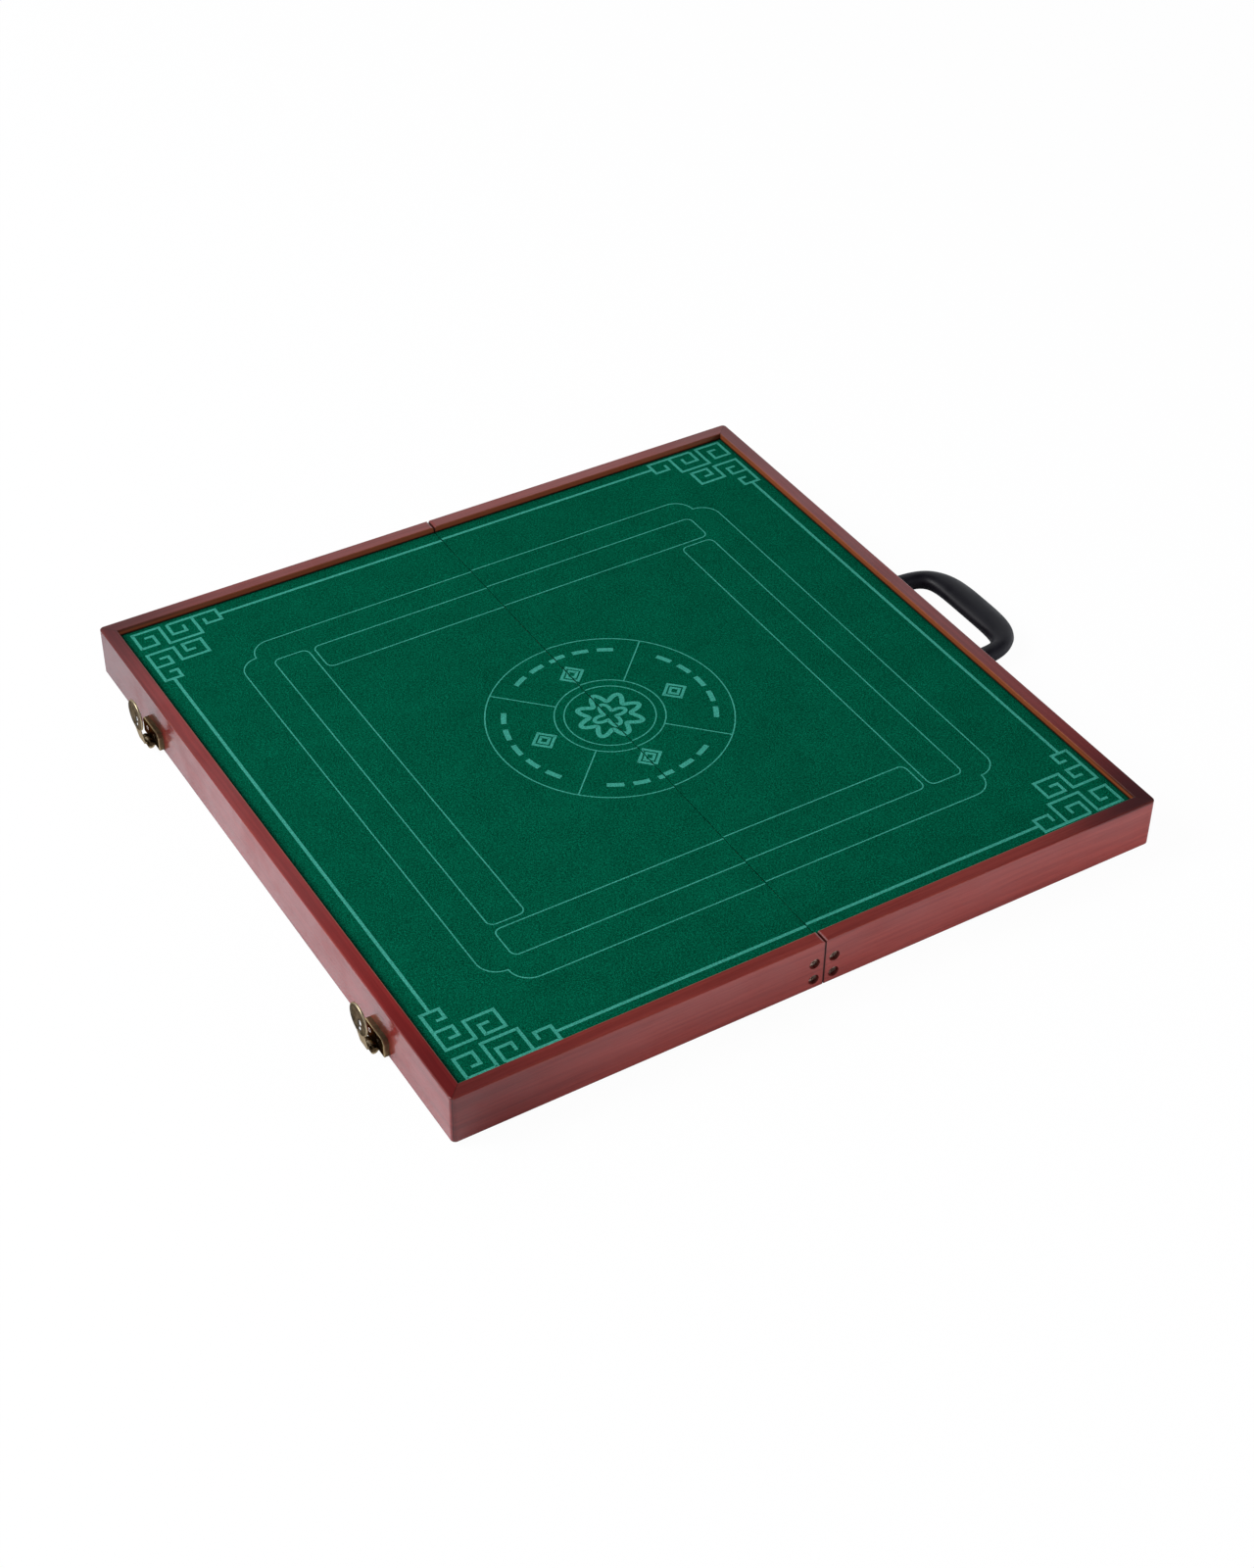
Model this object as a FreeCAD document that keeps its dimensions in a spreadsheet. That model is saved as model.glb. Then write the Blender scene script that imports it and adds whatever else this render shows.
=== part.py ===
import FreeCAD, Part
import os
import re

# Folding mahjong table top: two hinged half-boxes of mitred rails that carry a felt playing face,
# with a drawer in each half, two latches on the left end and a carrying handle on the right end.
# x runs from the latch end to the handle end, y from the front to the back, z up from the floor.
# The origin is on the floor under the middle of the seam.

doc = FreeCAD.newDocument("folding_mahjong_table")
sheet = doc.addObject("Spreadsheet::Sheet", "Sizes")

# Driving sizes in millimetres, angles in degrees
sizes = {
    # square frame of rails
    "table_side": "700",
    "rail_height": "50",
    "rail_thickness": "13.5",
    "corner_round": "4.5",
    "edge_round": "1.2",
    "inner_edge_round": "0.8",
    "seam_gap": "0.8",
    "seam_end_round": "3",
    "seam_base_round": "1.5",
    # playing face and base panels
    "felt_depth": "6",
    "felt_thickness": "1.5",
    "panel_thickness": "4.5",
    "base_thickness": "3",
    "base_recess": "5",
    "groove_depth": "4",
    "groove_slack": "0.2",
    # rails along the seam and the screws that hold them
    "seam_rail_width": "19",
    "seam_screw_low": "10",
    "seam_screw_high": "28",
    "seam_screw_length": "36",
    "seam_screw_radius": "1.8",
    "seam_screw_head": "4.4",
    "seam_screw_sink": "2.4",
    "seam_bore_radius": "5.2",
    "screw_slack": "0.05",
    "cross_width": "0.9",
    "cross_depth": "1.1",
    # folding hinges under the seam
    "hinge_inset": "140",
    "hinge_length": "60",
    "leaf_reach": "16",
    "leaf_thickness": "1.6",
    "knuckle_radius": "3",
    "knuckle_slack": "0.3",
    "hinge_pin_radius": "1.4",
    "pin_slack": "0.05",
    "fold_drop": "0.4",
    "hinge_screw_radius": "1.4",
    "hinge_screw_head": "2.7",
    "hinge_screw_length": "15",
    "hinge_screw_spread": "38",
    # rubber feet
    "foot_drop": "4",
    "foot_radius": "9",
    "foot_tip_radius": "8",
    "foot_inset": "22",
    "foot_stagger": "24",
    # drawers in the back rails
    "drawer_opening": "240",
    "drawer_opening_height": "25",
    "drawer_gap": "0.6",
    "drawer_shoulder": "7",
    "drawer_depth": "220",
    "drawer_board": "6",
    "drawer_floor": "3",
    "drawer_floor_lift": "2",
    "drawer_groove": "3",
    "drawer_headroom": "0.6",
    "drawer_edge_round": "0.8",
    "guide_thickness": "8",
    "guide_lip": "5",
    "guide_slack": "0.5",
    "knob_radius": "6.5",
    "knob_neck_radius": "3",
    "knob_reach": "14",
    "knob_rose_radius": "5.5",
    "knob_rose_thickness": "1.6",
    # latches on the left end rail
    "latch_inset": "125",
    "latch_plate_width": "35",
    "latch_plate_head": "29",
    "latch_plate_clip": "3.5",
    "latch_plate_height": "17.6",
    "latch_plate_depth": "5",
    "latch_plate_up": "3.4",
    "plate_edge_round": "0.6",
    "latch_pin_out": "8.6",
    "latch_pin_up": "4.6",
    "latch_pin_radius": "1.2",
    "latch_knuckle_radius": "3.2",
    "latch_ear_width": "4.6",
    "latch_ear_web": "3",
    "latch_screw_up": "13.5",
    "latch_screw_spread": "15",
    "latch_screw_radius": "1.2",
    "latch_screw_head": "2.2",
    "latch_screw_length": "12",
    "tongue_base_width": "6",
    "tongue_waist_width": "17",
    "tongue_rise": "4.2",
    "tongue_neck_out": "4.7",
    "tongue_neck_overlap": "2.5",
    "tongue_disc_at": "34",
    "tongue_disc_radius": "16",
    "tongue_bead": "1.1",
    "tongue_thickness": "1.4",
    "tongue_inset": "0.2",
    "tongue_dish": "2.4",
    "tongue_dish_shift": "0.8",
    "tongue_hole_at": "30",
    "tongue_hole_radius": "3.2",
    "tongue_slot_at": "22.2",
    "tongue_slot_width": "5",
    "tongue_slot_length": "6.5",
    "tongue_lean": "4",
    "tongue_closed_lean": "14",
    # strikes on the right end rail
    "strike_width": "30",
    "strike_height": "24",
    "strike_thickness": "2",
    "strike_peg_radius": "2.3",
    "strike_peg_reach": "11.5",
    "strike_screw_spread": "18",
    # carrying handle on the right end rail
    "handle_up": "10",
    "handle_span": "137.2",
    "handle_reach": "67.7",
    "handle_bend_out": "40",
    "handle_bend_side": "30",
    "handle_leg_half_width": "8.9",
    "handle_leg_half_height": "8.2",
    "handle_flange": "1.8",
    "handle_flange_length": "6",
    "grip_half_width": "15.2",
    "grip_half_height": "8.4",
    "handle_screw_rise": "3.5",
    "handle_screw_radius": "2.5",
    "handle_screw_head": "4.2",
    "handle_screw_head_height": "2.6",
    "handle_screw_length": "34",
    # how far a cutting solid runs past the face that it cuts
    "cut_over": "2",
}

# Places and lengths that follow from the driving sizes
derived = {
    "half_side": "table_side / 2",
    "half_gap": "seam_gap / 2",
    "inner_half": "half_side - rail_thickness",
    "rail_foot": "foot_drop",
    "rail_top": "rail_foot + rail_height",
    "felt_top": "rail_top - felt_depth",
    "panel_top": "felt_top - felt_thickness",
    "panel_foot": "panel_top - panel_thickness",
    "base_foot": "rail_foot + base_recess",
    "base_top": "base_foot + base_thickness",
    "panel_edge": "inner_half + groove_depth",
    "seam_inside": "half_gap + seam_rail_width",
    "seam_middle": "half_gap + seam_rail_width / 2",
    "fold_height": "rail_foot - fold_drop",
    "knuckle_clear": "knuckle_radius + knuckle_slack",
    "hinge_half": "hinge_length / 2",
    "mid_knuckle": "hinge_length / 6",
    "drawer_middle": "(half_side + half_gap) / 2",
    "opening_half": "drawer_opening / 2",
    "front_half": "opening_half - drawer_gap",
    "tray_half": "opening_half - drawer_shoulder",
    "tray_inside": "tray_half - drawer_board",
    "tray_back": "inner_half - drawer_depth",
    "tray_foot": "base_top + guide_slack",
    "opening_top": "base_top + drawer_opening_height",
    "tray_top": "opening_top - drawer_gap - drawer_headroom",
    "tray_floor_foot": "tray_foot + drawer_floor_lift",
    "tray_floor_top": "tray_floor_foot + drawer_floor",
    "guide_inside": "tray_half + guide_slack",
    "guide_outside": "guide_inside + guide_thickness",
    "guide_lip_foot": "tray_top + guide_slack",
    "knob_height": "(base_top + opening_top) / 2",
    "latch_pin_height": "rail_foot + latch_pin_up",
    "latch_pin_x": "-(half_side + latch_pin_out)",
    "tongue_back": "latch_knuckle_radius - tongue_inset",
    "tongue_face": "tongue_back - tongue_thickness",
    "dish_radius": "(tongue_disc_radius ^ 2 + tongue_dish ^ 2) / (2 * tongue_dish)",
    "dish_x": "tongue_dish - dish_radius - tongue_back - tongue_neck_out - tongue_dish_shift",
    "rim_out": "tongue_back + tongue_neck_out + tongue_dish_shift - tongue_thickness / 2 - tongue_bead / 4",
    "neck_top": "tongue_disc_at - tongue_disc_radius + tongue_neck_overlap",
    "plate_foot": "rail_foot + latch_plate_up",
    "tongue_half": "tongue_base_width / 2",
    "ear_start": "tongue_half + knuckle_slack",
    "ear_reach": "ear_start + latch_ear_width",
    "hole_out": "tongue_back + tongue_neck_out + tongue_dish_shift - tongue_dish - tongue_thickness / 2",
    "hole_drop": "tongue_hole_at * cos(tongue_closed_lean) + hole_out * sin(tongue_closed_lean)",
    "peg_height": "2 * fold_height - latch_pin_height + hole_drop",
    "handle_height": "rail_foot + handle_up",
    "handle_screw_height": "handle_height + handle_screw_rise",
    "handle_half": "handle_span / 2",
}

directions = {
    "+x": FreeCAD.Rotation(FreeCAD.Vector(0, 1, 0), 90),
    "-x": FreeCAD.Rotation(FreeCAD.Vector(0, 1, 0), -90),
    "+y": FreeCAD.Rotation(FreeCAD.Vector(1, 0, 0), -90),
    "-y": FreeCAD.Rotation(FreeCAD.Vector(1, 0, 0), 90),
    "+z": FreeCAD.Rotation(),
    "-z": FreeCAD.Rotation(FreeCAD.Vector(1, 0, 0), 180),
}

for row, (alias, value) in enumerate(sizes.items(), start=1):
    sheet.set(f"A{row}", alias)
    sheet.set(f"B{row}", value)
    sheet.setAlias(f"B{row}", alias)
doc.recompute()

nodes = []


def formula(text):
    """Turn words for sizes into an expression on the sheet's cells."""
    def swap(match):
        word = match.group(0)
        if word in derived:
            return "(" + formula(derived[word]) + ")"
        if word in sizes:
            return "Sizes." + word
        return word
    return re.sub(r"[A-Za-z_]\w*", swap, str(text))


def bind(item, **properties):
    for name, text in properties.items():
        item.setExpression(name, formula(text))
    return item


def place(item, x, y, z, direction="+z"):
    """Stand an item's own z axis along a direction, at a bound position."""
    item.Placement = FreeCAD.Placement(FreeCAD.Vector(), directions[direction])
    for axis, text in (("x", x), ("y", y), ("z", z)):
        item.setExpression("Placement.Base." + axis, formula(text))
    return item


def box(name, x, y, z):
    item = doc.addObject("Part::Box", name)
    lengths = [f"({high}) - ({low})" for low, high in (x, y, z)]
    bind(item, Length=lengths[0], Width=lengths[1], Height=lengths[2])
    return place(item, x[0], y[0], z[0])


def cylinder(name, radius, length, x="0", y="0", z="0", direction="+z"):
    item = doc.addObject("Part::Cylinder", name)
    bind(item, Radius=radius, Height=length)
    return place(item, x, y, z, direction)


def cone(name, low_radius, high_radius, length, x="0", y="0", z="0", direction="+z"):
    item = doc.addObject("Part::Cone", name)
    bind(item, Radius1=low_radius, Radius2=high_radius, Height=length)
    return place(item, x, y, z, direction)


def sphere(name, radius, x, y, z):
    item = doc.addObject("Part::Sphere", name)
    bind(item, Radius=radius)
    return place(item, x, y, z)


def torus(name, ring, bead, x, y, z, direction):
    item = doc.addObject("Part::Torus", name)
    bind(item, Radius1=ring, Radius2=bead)
    return place(item, x, y, z, direction)


def taper(name, x, x2, y, z, z2=None):
    """A block whose x and z spans change from its first y face to its second."""
    item = doc.addObject("Part::Wedge", name)
    z2 = z2 or z
    bind(item, Xmin=x[0], Xmax=x[1], X2min=x2[0], X2max=x2[1], Ymin=y[0], Ymax=y[1])
    return bind(item, Zmin=z[0], Zmax=z[1], Z2min=z2[0], Z2max=z2[1])


def fuse(name, *items):
    item = doc.addObject("Part::MultiFuse", name)
    item.Shapes = list(items)
    item.Refine = True
    return item


def cut(name, base, *tools):
    item = doc.addObject("Part::Cut", name)
    item.Base = base
    item.Tool = tools[0] if len(tools) == 1 else fuse(name + "_cutter", *tools)
    return item


def common(name, base, tool):
    item = doc.addObject("Part::Common", name)
    item.Base = base
    item.Tool = tool
    return item


def group(name, items):
    item = doc.addObject("Part::Compound", name)
    item.Links = list(items)
    return item


def rounded(name, base, radius_of):
    """Fillet the edges to which radius_of gives a radius."""
    doc.recompute()
    item = doc.addObject("Part::Fillet", name)
    item.Base = base
    radii = [(number, radius_of(edge)) for number, edge in enumerate(base.Shape.Edges, start=1)]
    item.Edges = [(number, radius, radius) for number, radius in radii if radius]
    return item


def node(label, item):
    """Register a finished sub-part under the label that names its file."""
    item.Label = label
    nodes.append(item)
    return item


def side_span(side, near, far):
    """A span along x on the left or right half, from its distances to the seam."""
    return (near, far) if side > 0 else (f"-({far})", f"-({near})")


def screw(name, radius, head, length, x, y, z, direction, crossed=False):
    """A countersunk screw whose head faces along direction."""
    head_height = f"({head}) - ({radius})"
    shank = cylinder(name + "_shank", radius, f"({length}) - ({head_height})", z=f"-({length})")
    top = cone(name + "_head", radius, head, head_height, z=f"-({head_height})")
    whole = fuse(name + "_blank", shank, top)
    if crossed:
        reach = f"0.6 * ({head})"
        half = "cross_width / 2"
        depth = ("-cross_depth", "cut_over")
        arms = [box(name + "_arm_x", (f"-{reach}", reach), (f"-{half}", half), depth),
                box(name + "_arm_y", (f"-{half}", half), (f"-{reach}", reach), depth)]
        whole = cut(name, whole, *arms)
    return place(whole, x, y, z, direction)


def screw_bore(name, radius, length, x, y, z, direction):
    """The hole that a screw's shank fills, from the plane of its head inwards."""
    inward = direction.replace("+", "*").replace("-", "+").replace("*", "-")
    return cylinder(name, f"({radius}) + screw_slack", f"({length}) + screw_slack", x, y, z, inward)


halves = {"left": -1, "right": 1}
ends = {"front": -1, "back": 1}
latch_places = {"near": "-(half_side - latch_inset)", "far": "half_side - latch_inset"}
hinge_places = {"near": "-(half_side - hinge_inset)", "far": "half_side - hinge_inset"}


def near(value, target, slack=1e-4):
    return abs(value - target) < slack


def frame_ring():
    """The whole square frame with its rounded edges, from which every outer rail is cut."""
    outer = box("ring_outside", ("-half_side", "half_side"), ("-half_side", "half_side"),
                ("rail_foot", "rail_top"))
    hole = box("ring_inside", ("-inner_half", "inner_half"), ("-inner_half", "inner_half"),
               ("rail_foot - cut_over", "rail_top + cut_over"))
    ring = cut("ring_square", outer, hole)
    half = sheet.table_side / 2
    inside = half - sheet.rail_thickness
    top = sheet.foot_drop + sheet.rail_height

    def radius_of(edge):
        ends_of = [vertex.Point for vertex in edge.Vertexes]
        on_outside = all(near(max(abs(p.x), abs(p.y)), half) for p in ends_of)
        if on_outside and near(ends_of[0].x, ends_of[1].x) and near(ends_of[0].y, ends_of[1].y):
            return sheet.corner_round
        if on_outside:
            return sheet.edge_round
        on_inside = all(near(max(abs(p.x), abs(p.y)), inside) for p in ends_of)
        if on_inside and all(near(p.z, top) for p in ends_of):
            return sheet.inner_edge_round
        return None
    return rounded("ring", ring, radius_of)


ring = frame_ring()
mitre_out = "half_side + cut_over"
mitre_in = "inner_half - cut_over"
mitre_z = ("rail_foot - cut_over", "rail_top + cut_over")


def seam_rounding(half, side):
    """What rounds the seam ends of the front and back rails, at the top and a little at the foot."""
    tools = []
    for level, radius, height in (("top", "seam_end_round", "rail_top"),
                                  ("foot", "seam_base_round", "rail_foot")):
        inward = "-1" if level == "top" else "1"
        middle = f"({height}) + ({inward}) * {radius}"
        outer_z = f"({height}) - ({inward}) * cut_over"
        z = (middle, outer_z) if level == "top" else (outer_z, middle)
        y = ("-half_side - cut_over", "half_side + cut_over")
        x = side_span(side, "half_gap - cut_over", f"half_gap + {radius}")
        corner = box(f"{half}_seam_{level}_corner", x, y, z)
        round_x = side_span(side, f"half_gap + {radius}", "0")[0 if side > 0 else 1]
        bar = cylinder(f"{half}_seam_{level}_bar", radius, "table_side + 2 * cut_over",
                       round_x, "-half_side - cut_over", middle, "+y")
        tools.append(cut(f"{half}_seam_{level}_round", corner, bar))
    return tools


def seam_screw_places(side, end):
    x = f"({side}) * seam_middle"
    y = f"({end}) * (half_side - seam_screw_sink)"
    return [(x, y, f"rail_foot + {level}") for level in ("seam_screw_low", "seam_screw_high")]


def build_frame(half, side):
    panel_space = box(f"{half}_panel_space", side_span(side, "-cut_over", "panel_edge + groove_slack"),
                      ("-panel_edge - groove_slack", "panel_edge + groove_slack"),
                      ("panel_foot", "panel_top"))
    base_space = box(f"{half}_base_space",
                     side_span(side, "seam_inside - groove_depth - groove_slack", "panel_edge + groove_slack"),
                     ("-panel_edge - groove_slack", "panel_edge + groove_slack"),
                     ("base_foot", "base_top"))
    rounding = seam_rounding(half, side)

    # front and back rails, mitred at the outer corner and square at the seam
    screws = []
    seam_bores = []
    for end, sign in ends.items():
        outer_x = side_span(side, "half_gap", mitre_out)
        inner_x = side_span(side, "half_gap", mitre_in)
        if sign < 0:
            spans = (outer_x, inner_x, (f"-({mitre_out})", f"-({mitre_in})"))
        else:
            spans = (inner_x, outer_x, (mitre_in, mitre_out))
        wedge = taper(f"{half}_{end}_wedge", *spans, mitre_z)
        blank = common(f"{half}_{end}_blank", ring, wedge)
        tools = [panel_space, base_space] + rounding
        outward = "-y" if sign < 0 else "+y"
        for number, (x, y, z) in enumerate(seam_screw_places(side, sign), start=1):
            name = f"{half}_{end}_seam_screw_{number}"
            screws.append(screw(name, "seam_screw_radius", "seam_screw_head", "seam_screw_length",
                                x, y, z, outward, crossed=True))
            bore = screw_bore(name + "_bore", "seam_screw_radius", "seam_screw_length", x, y, z, outward)
            seam_bores.append(bore)
            sink_depth = "seam_screw_sink + seam_screw_head - seam_screw_radius"
            sink = cylinder(name + "_sink", "seam_bore_radius", f"{sink_depth} + cut_over", x,
                            f"({sign}) * (half_side - ({sink_depth}))", z, outward)
            tools += [bore, sink]
        if end == "back":
            tools.append(box(f"{half}_drawer_opening",
                             side_span(side, "drawer_middle - opening_half", "drawer_middle + opening_half"),
                             ("inner_half - cut_over", "half_side + cut_over"),
                             ("base_top", "opening_top")))
        node(f"{half}_{end}_rail", cut(f"{half}_{end}_rail", blank, *tools))
    node(f"{half}_seam_rail_screws", group(f"{half}_seam_rail_screws", screws))

    # end rail, mitred at both corners
    long_y = (f"-({mitre_out})", mitre_out)
    short_y = (f"-({mitre_in})", mitre_in)
    if side < 0:
        wedge = taper(f"{half}_end_wedge", short_y, long_y, (mitre_in, mitre_out), mitre_z)
    else:
        wedge = taper(f"{half}_end_wedge", long_y, short_y, (f"-({mitre_out})", f"-({mitre_in})"), mitre_z)
    wedge.Placement.Rotation = FreeCAD.Rotation(FreeCAD.Vector(0, 0, 1), 90)
    blank = common(f"{half}_end_blank", ring, wedge)
    fittings = latch_bores() if side < 0 else strike_bores() + handle_bores("end_rail")
    node(f"{half}_end_rail", cut(f"{half}_end_rail", blank, panel_space, base_space, *fittings))

    # rail along the seam, under the playing panel, cut for the hinges and the screws
    blank = box(f"{half}_seam_blank", side_span(side, "half_gap", "seam_inside"),
                ("-inner_half", "inner_half"), ("rail_foot", "panel_foot"))
    tools = [base_space] + seam_bores
    for where, y in hinge_places.items():
        tools.append(box(f"{half}_{where}_knuckle_room", side_span(side, "-cut_over", "knuckle_clear"),
                         (f"{y} - hinge_half - knuckle_slack", f"{y} + hinge_half + knuckle_slack"),
                         ("rail_foot - cut_over", "fold_height + knuckle_clear")))
        tools.append(box(f"{half}_{where}_leaf_room", side_span(side, "0", "leaf_reach"),
                         (f"{y} - hinge_half", f"{y} + hinge_half"),
                         ("rail_foot - cut_over", "rail_foot + leaf_thickness")))
        for number, spot in enumerate(hinge_screw_places(side, y), start=1):
            tools.append(screw_bore(f"{half}_{where}_hinge_bore_{number}", "hinge_screw_radius",
                                    "hinge_screw_length", *spot, "-z"))
    node(f"{half}_seam_rail", cut(f"{half}_seam_rail", blank, *tools))


def build_panels(half, side):
    node(f"{half}_play_panel", box(f"{half}_play_panel", side_span(side, "half_gap", "panel_edge"),
                                   ("-panel_edge", "panel_edge"), ("panel_foot", "panel_top")))
    node(f"{half}_felt", box(f"{half}_felt", side_span(side, "half_gap", "inner_half"),
                             ("-inner_half", "inner_half"), ("panel_top", "felt_top")))
    node(f"{half}_base_panel", box(f"{half}_base_panel",
                                   side_span(side, "seam_inside - groove_depth", "panel_edge"),
                                   ("-panel_edge", "panel_edge"), ("base_foot", "base_top")))
    # feet of the two halves are staggered along y, so that they pass each other when folded
    stagger = "0" if side < 0 else "foot_stagger"
    feet = []
    for x in ("inner_half - foot_inset", "seam_inside + foot_inset"):
        for sign in ends.values():
            y = f"({sign}) * (inner_half - foot_inset - {stagger})"
            feet.append(cone(f"{half}_foot_{len(feet) + 1}", "foot_tip_radius", "foot_radius", "base_foot",
                             f"({side}) * ({x})", y))
    node(f"{half}_feet", group(f"{half}_feet", feet))


def build_drawer(half, side):
    def across(low, high):
        return side_span(side, f"drawer_middle + ({low})", f"drawer_middle + ({high})")

    # L-shaped guides stand on the base panel and keep the tray down with a lip
    guides = []
    for sign in (-1, 1):
        pair = ("guide_inside", "guide_outside")
        wall_x = across(*pair) if sign > 0 else across(*(f"-({text})" for text in reversed(pair)))
        lip_pair = ("guide_inside - guide_lip", "guide_outside")
        lip_x = across(*lip_pair) if sign > 0 else across(*(f"-({text})" for text in reversed(lip_pair)))
        wall = box(f"{half}_guide_wall_{sign + 2}", wall_x, ("tray_back", "inner_half"),
                   ("base_top", "panel_foot"))
        lip = box(f"{half}_guide_lip_{sign + 2}", lip_x, ("tray_back", "inner_half"),
                  ("guide_lip_foot", "panel_foot"))
        guides.append(fuse(f"{half}_guide_{sign + 2}", wall, lip))
    node(f"{half}_drawer_guides", group(f"{half}_drawer_guides", guides))

    floor_space = box(f"{half}_tray_floor_space",
                      across("-tray_inside - drawer_groove - groove_slack",
                             "tray_inside + drawer_groove + groove_slack"),
                      ("tray_back - cut_over", "inner_half + drawer_groove + groove_slack"),
                      ("tray_floor_foot", "tray_floor_top"))

    front_box = box(f"{half}_drawer_front_box", across("-front_half", "front_half"),
                    ("inner_half", "half_side"), ("base_top + drawer_gap", "opening_top - drawer_gap"))
    face = sheet.table_side / 2

    def radius_of(edge):
        on_face = all(near(vertex.Point.y, face) for vertex in edge.Vertexes)
        return sheet.drawer_edge_round if on_face else None
    front_blank = rounded(f"{half}_drawer_front_blank", front_box, radius_of)
    node(f"{half}_drawer_front", cut(f"{half}_drawer_front", front_blank, floor_space))

    sides = []
    for sign in (-1, 1):
        pair = ("tray_inside", "tray_half") if sign > 0 else ("-tray_half", "-tray_inside")
        board = box(f"{half}_tray_board_{sign + 2}", across(*pair), ("tray_back", "inner_half"),
                    ("tray_foot", "tray_top"))
        sides.append(cut(f"{half}_tray_side_{sign + 2}", board, floor_space))
    node(f"{half}_drawer_sides", group(f"{half}_drawer_sides", sides))

    node(f"{half}_drawer_back", box(f"{half}_drawer_back", across("-tray_inside", "tray_inside"),
                                    ("tray_back", "tray_back + drawer_board"),
                                    ("tray_floor_top", "tray_top")))
    node(f"{half}_drawer_bottom", box(f"{half}_drawer_bottom",
                                      across("-tray_inside - drawer_groove", "tray_inside + drawer_groove"),
                                      ("tray_back", "inner_half + drawer_groove"),
                                      ("tray_floor_foot", "tray_floor_top")))

    # turned knob: a rose against the front, a neck and a round head
    x = f"({side}) * drawer_middle"
    rose = cylinder(f"{half}_knob_rose", "knob_rose_radius", "knob_rose_thickness",
                    x, "half_side", "knob_height", "+y")
    neck = cone(f"{half}_knob_neck", "knob_neck_radius", "0.8 * knob_neck_radius", "knob_reach - knob_radius",
                x, "half_side", "knob_height", "+y")
    head = sphere(f"{half}_knob_head", "knob_radius", x, "half_side + knob_reach - knob_radius", "knob_height")
    node(f"{half}_drawer_knob", fuse(f"{half}_drawer_knob", rose, neck, head))


def hinge_screw_places(side, y):
    x = f"({side}) * (leaf_reach + knuckle_clear) / 2"
    return [(x, f"{y} + ({sign}) * hinge_screw_spread / 2", "rail_foot") for sign in (-1, 1)]


def hinge_leaf(name, side, y, spans):
    """A flush leaf with its own knuckles round the pin; spans are their places along y."""
    plate = box(name + "_plate", side_span(side, "knuckle_clear", "leaf_reach"),
                (f"{y} - hinge_half", f"{y} + hinge_half"), ("rail_foot", "rail_foot + leaf_thickness"))
    solids = [plate]
    for number, (low, high) in enumerate(spans, start=1):
        low_y = f"{y} + ({low})"
        length = f"({high}) - ({low})"
        solids.append(cylinder(f"{name}_knuckle_{number}", "knuckle_radius", length,
                               "0", low_y, "fold_height", "+y"))
        solids.append(box(f"{name}_web_{number}", side_span(side, "0", "knuckle_clear"),
                          (low_y, f"{y} + ({high})"), ("rail_foot", "rail_foot + leaf_thickness")))
    whole = fuse(name + "_whole", *solids)
    tools = [cylinder(name + "_eye", "hinge_pin_radius + pin_slack", "hinge_length + 2 * cut_over",
                      "0", f"{y} - hinge_half - cut_over", "fold_height", "+y")]
    for number, (x, screw_y, z) in enumerate(hinge_screw_places(side, y), start=1):
        depth = "hinge_screw_head - hinge_screw_radius"
        tools.append(cone(f"{name}_sink_{number}", "hinge_screw_head + screw_slack",
                          "hinge_screw_radius + screw_slack", depth, x, screw_y, z))
        tools.append(cylinder(f"{name}_hole_{number}", "hinge_screw_radius + screw_slack",
                              "leaf_thickness + cut_over", x, screw_y, z))
    return node(name, cut(name, whole, *tools))


def build_hinges():
    screws = {half: [] for half in halves}
    for where, y in hinge_places.items():
        middle = [("-mid_knuckle", "mid_knuckle")]
        outer = [("-hinge_half", "-mid_knuckle - knuckle_slack"), ("mid_knuckle + knuckle_slack", "hinge_half")]
        hinge_leaf(f"{where}_hinge_left_leaf", -1, y, outer)
        hinge_leaf(f"{where}_hinge_right_leaf", 1, y, middle)
        node(f"{where}_hinge_pin", cylinder(f"{where}_hinge_pin", "hinge_pin_radius", "hinge_length",
                                            "0", f"{y} - hinge_half", "fold_height", "+y"))
        for half, side in halves.items():
            for spot in hinge_screw_places(side, y):
                name = f"{half}_hinge_screw_{len(screws[half]) + 1}"
                screws[half].append(screw(f"{where}_{name}", "hinge_screw_radius", "hinge_screw_head",
                                          "hinge_screw_length", *spot, "-z", crossed=True))
    for half in halves:
        node(f"{half}_hinge_screws", group(f"{half}_hinge_screws", screws[half]))


def latch_screw_places(y):
    x = "-(half_side + latch_plate_depth)"
    z = "rail_foot + latch_screw_up"
    return [(x, f"{y} + ({sign}) * latch_screw_spread / 2", z) for sign in (-1, 1)]


def latch_bores():
    return [screw_bore(f"{where}_latch_bore_{number}", "latch_screw_radius", "latch_screw_length", *spot, "-x")
            for where, y in latch_places.items()
            for number, spot in enumerate(latch_screw_places(y), start=1)]


def upright(item, x, y, z):
    """Turn a tapered block so that its own y runs up the wall and its own z away from the left wall."""
    item.Placement = FreeCAD.Placement(FreeCAD.Vector(), FreeCAD.Rotation(
        FreeCAD.Vector(0, -1, 0), FreeCAD.Vector(0, 0, 1), FreeCAD.Vector(-1, 0, 0), "ZXY"))
    for axis, text in (("x", x), ("y", y), ("z", z)):
        item.setExpression("Placement.Base." + axis, formula(text))
    return item


def plate_radius(edge, face):
    """The rounding of a wall plate's edge, if that edge lies on its front face."""
    on_face = all(near(vertex.Point.x, face) for vertex in edge.Vertexes)
    return sheet.plate_edge_round if on_face else None


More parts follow.
